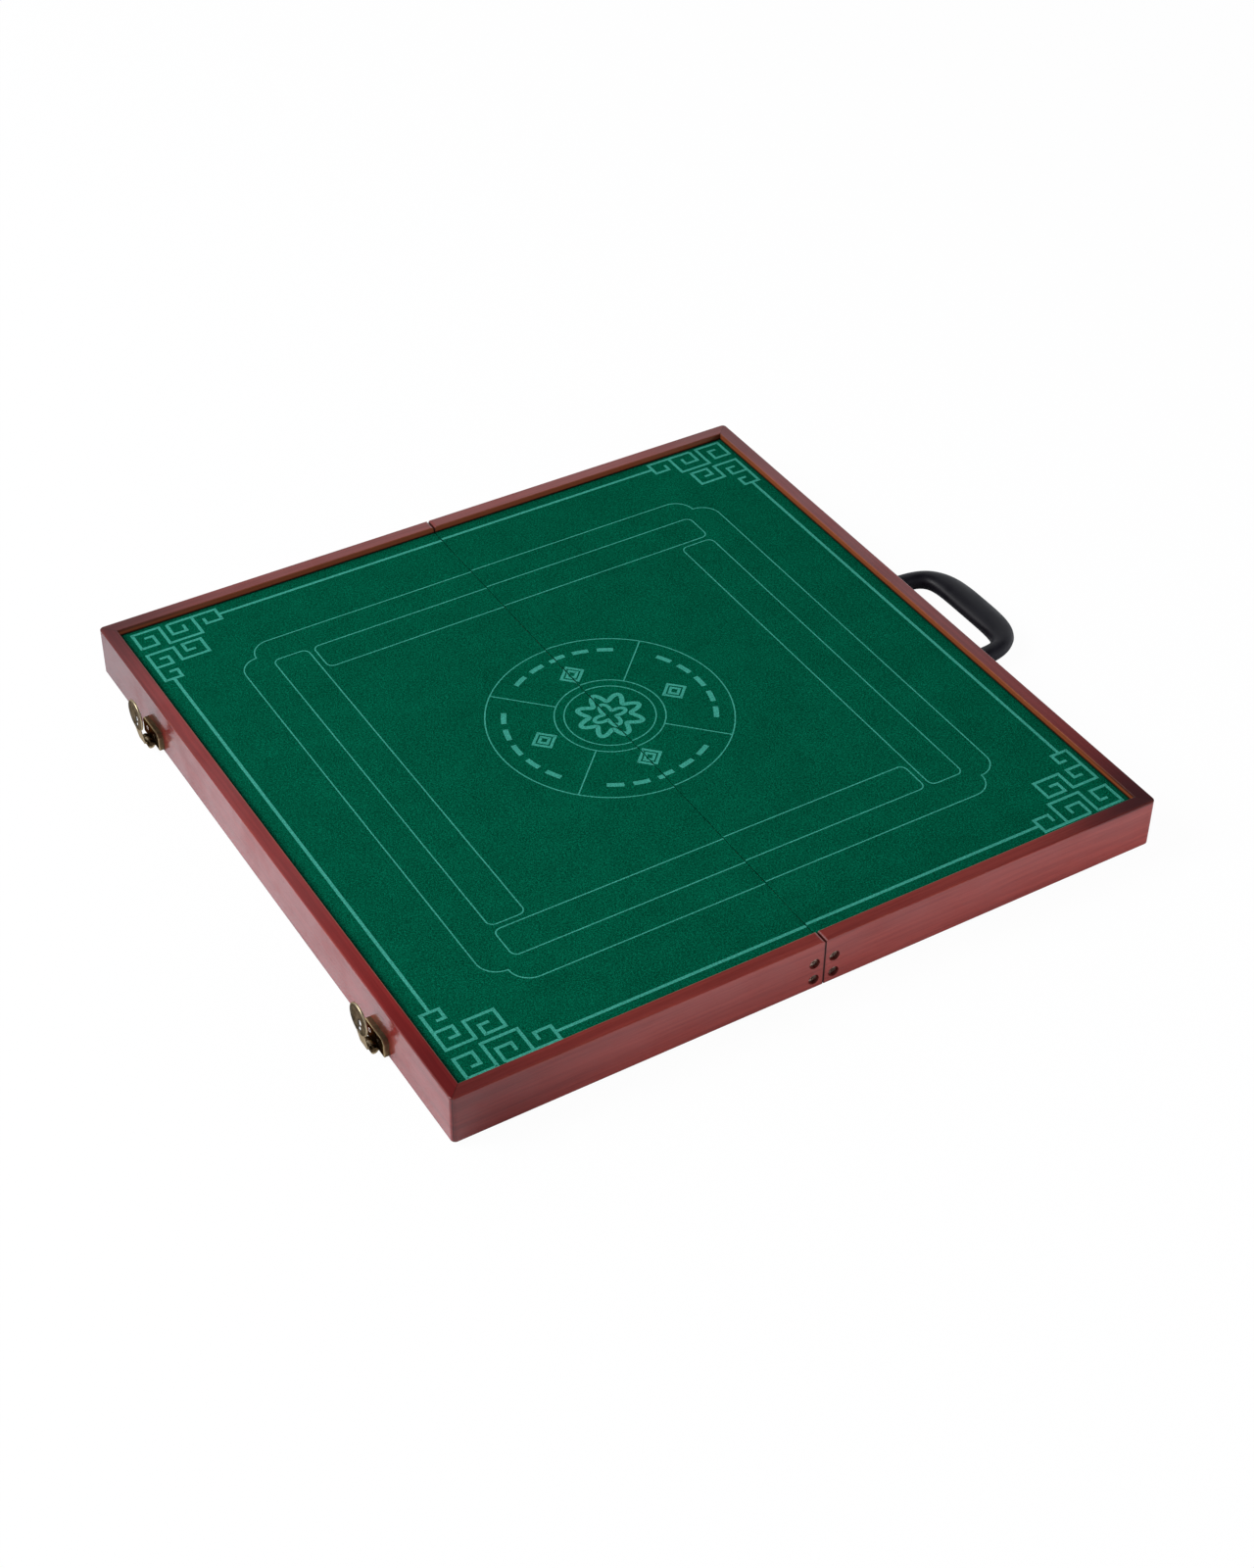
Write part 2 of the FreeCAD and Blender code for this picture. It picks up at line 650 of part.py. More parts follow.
def latch_plate(name, y):
    """Thick plate on the wall with clipped upper corners and two hinge ears along its lower edge."""
    half = "latch_plate_width / 2"
    slab = box(name + "_slab", ("-half_side - latch_plate_depth", "-half_side"),
               (f"{y} - {half}", f"{y} + {half}"), ("plate_foot", "plate_foot + latch_plate_height"))
    # the taper runs over the whole height and meets the slab's sides where the clipped corners begin
    slope = "(latch_plate_width - latch_plate_head) / (2 * latch_plate_clip)"
    spread = f"latch_plate_head / 2 + {slope} * latch_plate_height"
    roof = taper(name + "_roof", (f"-({spread})", spread), ("-latch_plate_head / 2", "latch_plate_head / 2"),
                 ("0", "latch_plate_height"), ("-cut_over", "latch_plate_depth + cut_over"))
    upright(roof, "-half_side", y, "plate_foot")
    face = -sheet.table_side / 2 - sheet.latch_plate_depth
    sharp = common(name + "_sharp", slab, roof)
    solids = [rounded(name + "_blank", sharp, lambda edge: plate_radius(edge, face))]
    for number, low in enumerate(("-ear_reach", "ear_start"), start=1):
        start = f"{y} + ({low})"
        solids.append(cylinder(f"{name}_ear_{number}", "latch_knuckle_radius", "latch_ear_width",
                               "latch_pin_x", start, "latch_pin_height", "+y"))
        solids.append(box(f"{name}_web_{number}", ("latch_pin_x", "-half_side - latch_plate_depth / 2"),
                          (start, f"{start} + latch_ear_width"),
                          ("plate_foot", "latch_pin_height + latch_ear_web / 2")))
    tools = [cylinder(name + "_eye", "latch_pin_radius + pin_slack", "2 * (ear_reach + cut_over)",
                      "latch_pin_x", f"{y} - ear_reach - cut_over", "latch_pin_height", "+y")]
    for number, (x, screw_y, z) in enumerate(latch_screw_places(y), start=1):
        depth = "latch_screw_head - latch_screw_radius"
        tools.append(cone(f"{name}_sink_{number}", "latch_screw_head + screw_slack",
                          "latch_screw_radius + screw_slack", depth, x, screw_y, z, "+x"))
        tools.append(cylinder(f"{name}_hole_{number}", "latch_screw_radius + screw_slack",
                              "latch_plate_depth + cut_over", x, screw_y, z, "+x"))
    return node(name, cut(name, fuse(name + "_whole", *solids), *tools))


def latch_tongue(name, y):
    """Spoon-shaped tongue: a knuckle, a neck that leans off the plate and a dished disc with a beaded rim."""
    # modelled with the disc upright and the pin on the y axis, then leaned outwards about the pin
    base = ("-tongue_half", "tongue_half")
    waist = ("-tongue_waist_width / 2", "tongue_waist_width / 2")
    rise = "tongue_rise * tongue_neck_out / neck_top"
    low, middle, high = [(text, f"{text} + tongue_thickness") for text in ("0", rise, "tongue_neck_out")]
    shank = taper(name + "_shank", base, base, ("0", "tongue_rise"), low, middle)
    flare = taper(name + "_flare", base, waist, ("tongue_rise", "neck_top"), middle, high)
    solids = [upright(item, "-tongue_face", "0", "0") for item in (shank, flare)]
    solids.append(cylinder(name + "_knuckle", "latch_knuckle_radius", "tongue_base_width",
                           "0", "-tongue_half", "0", "+y"))
    # the disc is a cap of a thin ball, hollow on its outer side, with a bead round its edge
    through = "-tongue_face - tongue_neck_out + tongue_dish + cut_over"
    depth = "tongue_dish + 2 * tongue_thickness + 3 * cut_over"
    rim = "tongue_disc_radius - tongue_bead"
    ball = sphere(name + "_ball", "dish_radius + tongue_thickness", "dish_x", "0", "tongue_disc_at")
    hollow = sphere(name + "_hollow", "dish_radius", "dish_x", "0", "tongue_disc_at")
    round_bar = cylinder(name + "_round", rim, depth, through, "0", "tongue_disc_at", "-x")
    solids.append(common(name + "_disc", cut(name + "_bowl", ball, hollow), round_bar))
    solids.append(torus(name + "_bead", rim, "tongue_bead", "-rim_out", "0", "tongue_disc_at", "-x"))
    hole = cylinder(name + "_hole", "tongue_hole_radius", depth, through, "0", "tongue_hole_at", "-x")
    slot_half = "tongue_slot_length / 2"
    slot = box(name + "_slot", ("-tongue_back - tongue_neck_out - tongue_dish - cut_over", "-tongue_face"),
               ("-tongue_slot_width / 2", "tongue_slot_width / 2"),
               (f"tongue_slot_at - {slot_half}", f"tongue_slot_at + {slot_half}"))
    eye = cylinder(name + "_eye", "latch_pin_radius + pin_slack", "tongue_base_width + 2 * cut_over",
                   "0", "-tongue_half - cut_over", "0", "+y")
    tongue = cut(name, fuse(name + "_whole", *solids), hole, slot, eye)
    place(tongue, "latch_pin_x", y, "latch_pin_height")
    tongue.Placement.Rotation = FreeCAD.Rotation(FreeCAD.Vector(0, -1, 0), sheet.tongue_lean)
    return node(name, tongue)


def build_latches():
    screws = []
    for where, y in latch_places.items():
        latch_plate(f"{where}_latch_plate", y)
        latch_tongue(f"{where}_latch_tongue", y)
        pin = cylinder(f"{where}_latch_pin", "latch_pin_radius", "2 * ear_reach",
                       "latch_pin_x", f"{y} - ear_reach", "latch_pin_height", "+y")
        node(f"{where}_latch_pin", pin)
        for number, spot in enumerate(latch_screw_places(y), start=1):
            screws.append(screw(f"{where}_latch_screw_{number}", "latch_screw_radius", "latch_screw_head",
                                "latch_screw_length", *spot, "-x", crossed=True))
    node("latch_screws", group("latch_screws", screws))


def strike_screw_places(y):
    x = "half_side + strike_thickness"
    return [(x, f"{y} + ({sign}) * strike_screw_spread / 2", "peg_height") for sign in (-1, 1)]


def strike_bores():
    return [screw_bore(f"{where}_strike_bore_{number}", "latch_screw_radius", "latch_screw_length", *spot, "+x")
            for where, y in latch_places.items()
            for number, spot in enumerate(strike_screw_places(y), start=1)]


def build_strikes():
    screws = []
    for where, y in latch_places.items():
        name = f"{where}_strike_plate"
        sharp = box(name + "_sharp", ("half_side", "half_side + strike_thickness"),
                    (f"{y} - strike_width / 2", f"{y} + strike_width / 2"),
                    ("peg_height - strike_height / 2", "peg_height + strike_height / 2"))
        face = sheet.table_side / 2 + sheet.strike_thickness
        plate = rounded(name + "_blank", sharp, lambda edge: plate_radius(edge, face))
        peg = cylinder(name + "_peg", "strike_peg_radius", "strike_peg_reach", "half_side", y, "peg_height", "+x")
        tools = []
        for number, (x, screw_y, z) in enumerate(strike_screw_places(y), start=1):
            depth = "latch_screw_head - latch_screw_radius"
            tools.append(cone(f"{name}_sink_{number}", "latch_screw_head + screw_slack",
                              "latch_screw_radius + screw_slack", depth, x, screw_y, z, "-x"))
            tools.append(cylinder(f"{name}_hole_{number}", "latch_screw_radius + screw_slack",
                                  "strike_thickness + cut_over", x, screw_y, z, "-x"))
            screws.append(screw(f"{where}_strike_screw_{number}", "latch_screw_radius", "latch_screw_head",
                                "latch_screw_length", x, screw_y, z, "+x", crossed=True))
        node(name, cut(name, fuse(name + "_whole", plate, peg), *tools))
    node("strike_screws", group("strike_screws", screws))


def handle_bores(piece):
    return [cylinder(f"{piece}_handle_bore_{sign + 2}", "handle_screw_radius + screw_slack",
                     "handle_screw_length + screw_slack", "inner_half", f"({sign}) * handle_half",
                     "handle_screw_height", "+x") for sign in (-1, 1)]


def build_handle():
    """A moulded D: two legs, two bends and a fat grip, lofted through ellipses along its middle line."""
    # each row: distance from the wall, place along y, heading of the line, half width, half height
    bend_x = "handle_reach - handle_bend_out"
    bend_y = "handle_half - handle_bend_side"
    width = "handle_leg_half_width"
    height = "handle_leg_half_height"
    first_half = [
        ("0", "handle_half", 0, f"{width} + handle_flange", f"{height} + handle_flange"),
        ("handle_flange_length / 2", "handle_half", 0, f"{width} + handle_flange / 2",
         f"{height} + handle_flange / 2"),
        ("handle_flange_length", "handle_half", 0, width, height),
        (bend_x, "handle_half", 0, width, height),
        (f"{bend_x} + handle_bend_out * sin(45)", f"{bend_y} + handle_bend_side * cos(45)", 45,
         f"(4 * {width} + grip_half_width) / 5", f"({height} + grip_half_height) / 2"),
        ("handle_reach", bend_y, 90, "0.97 * grip_half_width", "grip_half_height"),
    ]
    rows = [(out, f"-({along})", heading, wide, high) for out, along, heading, wide, high in first_half]
    rows.append(("handle_reach", "0", 90, "grip_half_width", "grip_half_height"))
    rows += [(out, along, 180 - heading, wide, high) for out, along, heading, wide, high in reversed(first_half)]
    sections = []
    for number, (out, along, heading, wide, high) in enumerate(rows, start=1):
        section = doc.addObject("Part::Ellipse", f"handle_section_{number}")
        turn = FreeCAD.Rotation(FreeCAD.Vector(0, 0, 1), heading)
        forward = turn.multVec(FreeCAD.Vector(1, 0, 0))
        inward = turn.multVec(FreeCAD.Vector(0, 1, 0))
        section.Placement = FreeCAD.Placement(FreeCAD.Vector(), FreeCAD.Rotation(
            inward, FreeCAD.Vector(0, 0, 1), forward, "ZXY"))
        bind(section, MajorRadius=wide, MinorRadius=high)
        for axis, text in (("x", f"half_side + {out}"), ("y", along), ("z", "handle_height")):
            section.setExpression("Placement.Base." + axis, formula(text))
        sections.append(section)
    loft = doc.addObject("Part::Loft", "handle_blank")
    loft.Sections = sections
    loft.Solid = True
    loft.Ruled = False
    node("carry_handle", cut("carry_handle", loft, *handle_bores("handle")))
    screws = []
    for sign in (-1, 1):
        name = f"handle_screw_{sign + 2}"
        y = f"({sign}) * handle_half"
        shank = cylinder(name + "_shank", "handle_screw_radius", "handle_screw_length", "inner_half", y,
                         "handle_screw_height", "+x")
        head = cylinder(name + "_head", "handle_screw_head", "handle_screw_head_height", "inner_half", y,
                        "handle_screw_height", "-x")
        screws.append(fuse(name, shank, head))
    node("handle_screws", group("handle_screws", screws))


for half, side in halves.items():
    build_frame(half, side)
    build_panels(half, side)
    build_drawer(half, side)
build_hinges()
build_latches()
build_strikes()
build_handle()
doc.recompute()

faults = [item.Name for item in doc.Objects if {"Invalid", "Error"} & set(item.State)]
faults += [item.Label for item in nodes
           if item.Shape.isNull() or not item.Shape.isValid() or not item.Shape.Solids]
if faults:
    raise RuntimeError("failed objects: " + ", ".join(faults))

os.makedirs("parts", exist_ok=True)
for item in nodes:
    item.Shape.exportStep(f"parts/{item.Label}.step")
    print(item.Label, len(item.Shape.Solids), round(item.Shape.Volume, 1))
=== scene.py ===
import math
import bpy
import numpy as np
from mathutils import Matrix


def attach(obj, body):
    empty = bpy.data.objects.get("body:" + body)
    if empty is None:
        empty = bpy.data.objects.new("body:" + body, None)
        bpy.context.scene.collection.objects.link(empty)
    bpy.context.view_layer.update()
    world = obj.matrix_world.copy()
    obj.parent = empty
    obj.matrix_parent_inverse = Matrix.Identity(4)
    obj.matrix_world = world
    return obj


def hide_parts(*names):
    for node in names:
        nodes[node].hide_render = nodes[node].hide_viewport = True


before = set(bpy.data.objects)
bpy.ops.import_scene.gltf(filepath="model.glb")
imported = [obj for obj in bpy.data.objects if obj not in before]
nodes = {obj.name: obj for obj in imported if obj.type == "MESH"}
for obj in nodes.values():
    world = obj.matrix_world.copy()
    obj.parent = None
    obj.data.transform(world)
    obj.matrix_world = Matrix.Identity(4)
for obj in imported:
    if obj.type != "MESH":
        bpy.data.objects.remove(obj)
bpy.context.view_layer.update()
mm = 0.001
print("frame loaded:", len(nodes), "nodes")


# in the node helpers a value that is a socket is linked, and any other value is set
def addNode(tree, kind, sockets=None, **settings):
    node = tree.nodes.new(kind)
    for name, value in settings.items():
        setattr(node, name, value)
    for name, value in (sockets or {}).items():
        if isinstance(value, bpy.types.NodeSocket):
            tree.links.new(value, node.inputs[name])
        else:
            node.inputs[name].default_value = value
    return node


def calc(tree, operation, first, *others):
    # a chain of math nodes from the left, one for each further value, or a single node for one value alone
    result = first
    for value in others or (0.0,):
        result = addNode(tree, "ShaderNodeMath", {0: result, 1: value}, operation=operation).outputs[0]
    return result


def plus(tree, *values):
    return calc(tree, "ADD", *values)


def minus(tree, *values):
    return calc(tree, "SUBTRACT", *values)


def times(tree, *values):
    return calc(tree, "MULTIPLY", *values)


def most(tree, *values):
    return calc(tree, "MAXIMUM", *values)


def least(tree, *values):
    return calc(tree, "MINIMUM", *values)


def absolute(tree, value):
    return calc(tree, "ABSOLUTE", value)


def weighed(tree, values, shares):
    return plus(tree, *[times(tree, value, share) for value, share in zip(values, shares)])


def ease(tree, value, low, high, start=0.0, end=1.0):
    sockets = {"Value": value, "From Min": low, "From Max": high, "To Min": start, "To Max": end}
    return addNode(tree, "ShaderNodeMapRange", sockets, interpolation_type="SMOOTHSTEP").outputs[0]


def noise(tree, vector, scale, detail=2.0, roughness=0.5):
    sockets = {"Vector": vector, "Scale": scale, "Detail": detail, "Roughness": roughness}
    return addNode(tree, "ShaderNodeTexNoise", sockets).outputs[0]


def drawnNoise(tree, vector, factors, *settings):
    # noise of a vector whose axes are multiplied, so that it is drawn out along the axis with the smallest factor
    drawn = addNode(tree, "ShaderNodeVectorMath", {0: vector, 1: factors}, operation="MULTIPLY").outputs[0]
    return noise(tree, drawn, *settings)


def blend(tree, factor, first, second):
    return addNode(tree, "ShaderNodeMix", {0: factor, 6: first, 7: second}, data_type="RGBA").outputs[2]


def split(tree, vector):
    return addNode(tree, "ShaderNodeSeparateXYZ", {0: vector}).outputs


def join(tree, x, y, z):
    return addNode(tree, "ShaderNodeCombineXYZ", {0: x, 1: y, 2: z}).outputs[0]


def bump(tree, height, strength, distance):
    sockets = {"Height": height, "Strength": strength, "Distance": distance}
    return addNode(tree, "ShaderNodeBump", sockets).outputs[0]


def wire(tree, node, values):
    for label, value in values.items():
        tree.links.new(value, node.inputs[label])


def newGroup(name, inputs, outputs):
    tree = bpy.data.node_groups.new(name, "ShaderNodeTree")
    for label, kind in inputs:
        tree.interface.new_socket(label, in_out="INPUT", socket_type=kind)
    for label in outputs:
        tree.interface.new_socket(label, in_out="OUTPUT", socket_type="NodeSocketFloat")
    return tree, addNode(tree, "NodeGroupInput").outputs, addNode(tree, "NodeGroupOutput")


def useGroup(tree, group, sockets):
    return addNode(tree, "ShaderNodeGroup", sockets, node_tree=group).outputs


def newMaterial(name, plain):
    material = bpy.data.materials.new(name)
    material.use_nodes = True
    tree = material.node_tree
    shader = tree.nodes["Principled BSDF"]
    for label, value in plain.items():
        shader.inputs[label].default_value = value
    return material, tree, shader, addNode(tree, "ShaderNodeTexCoord").outputs["Object"]


def rgb(*values):
    return tuple(values) + (1.0,)


# figure of the wood, grain along the first axis: each layer has its factors, scale, detail and roughness
woodPlan = {"warp": ((1.4, 9.0, 9.0), 3.0, 2.0), "sway": (0.012, 0.009),
            "bands": ((1.0, 26.0, 26.0), 2.6, 2.0), "bandRange": (0.32, 0.68),
            "lines": ((1.0, 46.0, 46.0), 7.0, 4.0, 0.62), "lineRange": (0.34, 0.66),
            "fibres": ((1.0, 34.0, 34.0), 46.0, 3.0, 0.6),
            "pores": ((1.0, 30.0, 30.0), 92.0, 1.0), "poreRange": (0.62, 0.74),
            "tone": (0.20, 0.38, 0.42), "relief": 0.6}


def makeWoodFigure():
    # broad bands, growth lines, fibres and pores are noise drawn out along a grain that a slow warp bends
    tree, given, out = newGroup("woodFigure", [("Vector", "NodeSocketVector")], ["Tone", "Pores", "Height"])
    vector = given["Vector"]
    warp = drawnNoise(tree, vector, *woodPlan["warp"])
    sway = join(tree, 0.0, *[times(tree, warp, amount) for amount in woodPlan["sway"]])
    bent = addNode(tree, "ShaderNodeVectorMath", {0: vector, 1: sway}, operation="ADD").outputs[0]
    bands = ease(tree, drawnNoise(tree, bent, *woodPlan["bands"]), *woodPlan["bandRange"])
    lines = ease(tree, drawnNoise(tree, bent, *woodPlan["lines"]), *woodPlan["lineRange"])
    fibres = drawnNoise(tree, bent, *woodPlan["fibres"])
    pores = ease(tree, drawnNoise(tree, bent, *woodPlan["pores"]), *woodPlan["poreRange"])
    wire(tree, out, {"Tone": weighed(tree, (bands, lines, fibres), woodPlan["tone"]), "Pores": pores,
                     "Height": minus(tree, times(tree, fibres, woodPlan["relief"]), pores)})
    return tree


# edges of the frame, in metres: its sizes, then where each effect starts and ends, and its strength at both
edgePlan = {"half": 0.350, "top": 0.054, "foot": 0.004, "felt": 0.048,
            "patch": (22.0, 3.0, 0.6), "patchRange": (0.30, 0.75), "rub": (0.0004, 0.0026, 1.0, 0.0),
            "innerStart": (0.0120, 0.0134), "innerEnd": (0.0137, 0.0145, 1.0, 0.0),
            "feltLine": (0.0001, 0.0016, 1.0, 0.0), "under": (0.0042, 0.0060, 0.35, 0.0),
            "mitre": (0.0001, 0.0006, 0.8, 0.0), "seam": (0.0006, 0.0016, 0.9, 0.0),
            "drift": (11.0, 3.0), "driftSize": 0.05, "darkening": (0.030, 0.160, 1.0, 0.0), "topFace": (0.0505, 0.0530),
            "nearLatch": (-0.70, -0.30, 0.5, 1.0), "farHandle": (0.30, 0.70, 1.0, 0.3),
            "farLatch": (-0.70, -0.56, 0.74, 1.0), "frontWall": (-0.69, -0.50, 0.5, 0.0),
            "latchWall": (-0.70, -0.38, 0.6, 0.0), "wallFace": (-0.349, -0.346, 1.0, 0.0)}


def makeRailEdges():
    # distances to the frame's edges from the place alone: |x| and |y| reach the half side, z runs from foot to top
    tree, given, out = newGroup("railEdges", [("Vector", "NodeSocketVector")], ["Rub", "DarkLinesAndShade", "Inner", "CornersAndShade"])
    vector = given["Vector"]

    def effect(name, value):
        return ease(tree, value, *edgePlan[name])

    x, y, z = split(tree, vector)
    across, along = absolute(tree, x), absolute(tree, y)
    reach = minus(tree, edgePlan["half"], most(tree, across, along))
    top = plus(tree, absolute(tree, minus(tree, edgePlan["top"], z)), reach)
    foot = plus(tree, absolute(tree, minus(tree, z, edgePlan["foot"])), reach)
    corner = minus(tree, 2.0 * edgePlan["half"], plus(tree, across, along))
    patch = ease(tree, noise(tree, vector, *edgePlan["patch"]), *edgePlan["patchRange"])
    rub = times(tree, effect("rub", least(tree, top, foot, corner)), patch)
    inner = times(tree, effect("innerStart", reach), effect("innerEnd", reach))
    # painted shade in the crease along the felt, darker towards the bottom edge of the frame, and fine dark lines
    # where boards meet, at the mitres and at the seam
    feltCreaseShade = times(tree, inner, effect("feltLine", minus(tree, z, edgePlan["felt"])))
    mitre = effect("mitre", absolute(tree, minus(tree, across, along)))
    darkLinesAndShade = most(tree, feltCreaseShade, effect("under", z), most(tree, mitre, effect("seam", across)))
    # the wood is darker on top towards the mitred corners, most of all the near one at the handle end; on the front
    # wall at the latch end and on the latch wall at its far end the darkening is painted shade, where less light
    # falls
    drift = times(tree, noise(tree, vector, *edgePlan["drift"]), edgePlan["driftSize"])
    station = plus(tree, minus(tree, edgePlan["half"], least(tree, across, along)), drift)
    crossing, sideways = plus(tree, x, y), minus(tree, x, y)
    corners = times(tree, effect("nearLatch", crossing), effect("farHandle", crossing), effect("farLatch", sideways))
    darkening = times(tree, times(tree, effect("darkening", station), effect("topFace", z)), corners)
    # painted shade on the front wall towards the latch end and on the latch wall towards its far end
    front = times(tree, effect("frontWall", crossing), effect("wallFace", y))
    latchEnd = times(tree, effect("latchWall", sideways), effect("wallFace", x))
    wire(tree, out, {"Rub": rub, "DarkLinesAndShade": darkLinesAndShade, "Inner": inner, "CornersAndShade": most(tree, front, latchEnd, darkening)})
    return tree


# nap of the felt: each layer has its factors, scale, detail and roughness
napPlan = {"ways": (17.0, 76.0, 138.0), "mat": ((1.0, 3.4, 1.0), 520.0, 2.0, 0.6), "cloud": (34.0, 4.0, 0.62),
           "strand": ((1.0, 14.0, 1.0), 150.0, 1.0), "strandRange": (0.73, 0.80), "relief": (0.9, 0.05)}


def makeNap():
    # short matted fibres in three directions, faint clouds where the cloth was brushed, and a few pale hairs
    tree, given, out = newGroup("feltNap", [("Vector", "NodeSocketVector")], ["Fleck", "Cloud", "Hair", "Height"])
    vector = given["Vector"]
    ways = [addNode(tree, "ShaderNodeVectorRotate", {"Vector": vector, "Angle": math.radians(angle)},
                    rotation_type="Z_AXIS").outputs[0] for angle in napPlan["ways"]]
    fleck = most(tree, *[drawnNoise(tree, way, *napPlan["mat"]) for way in ways])
    cloud = noise(tree, vector, *napPlan["cloud"])
    strands = [drawnNoise(tree, way, *napPlan["strand"]) for way in ways]
    hair = most(tree, *[ease(tree, strand, *napPlan["strandRange"]) for strand in strands])
    wire(tree, out, {"Fleck": fleck, "Cloud": cloud, "Hair": hair,
                     "Height": weighed(tree, (fleck, cloud), napPlan["relief"])})
    return tree


# finger marks and dust
marksPlan = {"smear": (4.0, 0.6), "smearRange": (0.34, 0.70), "drawn": (7.0, 1.0, 1.0), "finer": 9.0, "detail": 2.0,
             "scratchRange": (0.60, 0.72)}


def makeHandling():
    # broad smears, and scratches that are several times finer
    tree, given, out = newGroup("handling", [("Vector", "NodeSocketVector"), ("Size", "NodeSocketFloat")],
                                ["Smear", "Scratch"])
    vector, scale = given["Vector"], given["Size"]
    smear = noise(tree, vector, scale, *marksPlan["smear"])
    finer = times(tree, scale, marksPlan["finer"])
    scratch = drawnNoise(tree, vector, marksPlan["drawn"], finer, marksPlan["detail"])
    wire(tree, out, {"Smear": ease(tree, smear, *marksPlan["smearRange"]),
                     "Scratch": ease(tree, scratch, *marksPlan["scratchRange"])})
    return tree


woodFigure, railEdges, feltNap, handling = makeWoodFigure(), makeRailEdges(), makeNap(), makeHandling()
print("shared effects:", [group.name for group in bpy.data.node_groups])

# red stained frame wood under satin varnish
mahogany = {
    # each board has its own tint for the inner faces: partly a warmer tone where the varnish is thin, partly painted
    # light, lightest on the handle end, whose inner faces turn to the key light
    "front": {"dark": rgb(0.115, 0.014, 0.012), "light": rgb(0.230, 0.036, 0.029),
              "inner": rgb(0.155, 0.042, 0.016)},
    "latchEnd": {"dark": rgb(0.128, 0.006, 0.006), "light": rgb(0.250, 0.019, 0.017),
                 "inner": rgb(0.200, 0.050, 0.015)},
    "handleEnd": {"dark": rgb(0.095, 0.008, 0.008), "light": rgb(0.185, 0.020, 0.019),
                  "inner": rgb(0.250, 0.066, 0.020)},
    # the darkest tint darkens the corners on top and paints shade on the walls where less light falls
    "anyBoard": {"darkening": rgb(0.022, 0.004, 0.006), "pore": rgb(0.055, 0.007, 0.005),
                 # the last tint below darkens the joints and the bottom edge, and paints shade in the crease along
                 # the felt
                 "rubbed": rgb(0.270, 0.060, 0.032), "darkLinesAndShade": rgb(0.014, 0.004, 0.003)},
    "share": {"inner": 0.80, "darkening": 0.90, "pore": 0.35, "rubbed": 0.22, "darkLinesAndShade": 0.90},
    "plain": {"Coat Roughness": 0.12, "Coat IOR": 1.50, "Specular IOR Level": 0.08},
    "seamShift": (0.61, 0.13, 0.29), "marks": 22.0, "rough": (0.0, 1.6, 0.30, 0.45),
    "coat": (0.0, 1.5, 0.85, 0.62), "dulled": 0.5, "relief": (0.22, 0.00010),
}


def mahoganyFinish(name, board, grainAlongY):
    material, tree, shader, place = newMaterial(name, mahogany["plain"])
    x, y, z = split(tree, place)
    side = calc(tree, "GREATER_THAN", x, 0.0)  # the two halves come from different boards
    moved = [plus(tree, item, times(tree, side, shift)) for item, shift in zip((x, y, z), mahogany["seamShift"])]
    grain = join(tree, moved[1], moved[0], moved[2]) if grainAlongY else join(tree, *moved)
    figure = useGroup(tree, woodFigure, {"Vector": grain})
    edges = useGroup(tree, railEdges, {"Vector": place})
    marks = useGroup(tree, handling, {"Vector": place, "Size": mahogany["marks"]})
    tints = {**mahogany["anyBoard"], **mahogany[board]}
    color = blend(tree, figure["Tone"], tints["dark"], tints["light"])
    for tint, effect in (("inner", edges["Inner"]), ("darkening", edges["CornersAndShade"]), ("pore", figure["Pores"]),
                         ("rubbed", edges["Rub"]), ("darkLinesAndShade", edges["DarkLinesAndShade"])):
        color = blend(tree, times(tree, effect, mahogany["share"][tint]), color, tints[tint])
    coat = ease(tree, plus(tree, marks["Smear"], edges["DarkLinesAndShade"]), *mahogany["coat"])
    wire(tree, shader, {
        "Base Color": color, "Normal": bump(tree, figure["Height"], *mahogany["relief"]),
        "Roughness": ease(tree, plus(tree, marks["Smear"], figure["Pores"]), *mahogany["rough"]),
        "Coat Weight": times(tree, coat, minus(tree, 1.0, times(tree, edges["CornersAndShade"], mahogany["dulled"])))})
    return material


# bare wood: the planed boards of the drawers, and plywood with its glue lines
bareWood = {"marks": 16.0, "pores": 0.5, "rough": (0.0, 1.0, 0.55, 0.72), "relief": (0.35, 0.00016),
            "plain": {"Specular IOR Level": 0.3}}
whitewood = {"dark": rgb(0.40, 0.245, 0.115), "light": rgb(0.66, 0.475, 0.275), "pore": rgb(0.27, 0.15, 0.07)}
plywood = {"dark": rgb(0.33, 0.19, 0.10), "light": rgb(0.55, 0.37, 0.21), "pore": rgb(0.20, 0.11, 0.055),
           "glue": rgb(0.115, 0.055, 0.028), "ply": 0.0015, "firstPly": 0.00025, "glueLine": (0.10, 0.0, 0.0, 0.75)}


def boardFinish(name, wood, grainAlongY):
    material, tree, shader, place = newMaterial(name, bareWood["plain"])
    x, y, z = split(tree, place)
    figure = useGroup(tree, woodFigure, {"Vector": join(tree, y, x, z) if grainAlongY else place})
    marks = useGroup(tree, handling, {"Vector": place, "Size": bareWood["marks"]})
    color = blend(tree, figure["Tone"], wood["dark"], wood["light"])
    color = blend(tree, times(tree, figure["Pores"], bareWood["pores"]), color, wood["pore"])
    if "ply" in wood:  # the place in the ply is what is left of the height after whole plies
        layer = calc(tree, "FRACT", calc(tree, "DIVIDE", minus(tree, z, wood["firstPly"]), wood["ply"]))
        color = blend(tree, ease(tree, layer, *wood["glueLine"]), color, wood["glue"])
    wire(tree, shader, {"Base Color": color, "Roughness": ease(tree, marks["Smear"], *bareWood["rough"]),
                        "Normal": bump(tree, figure["Height"], *bareWood["relief"])})
    return material


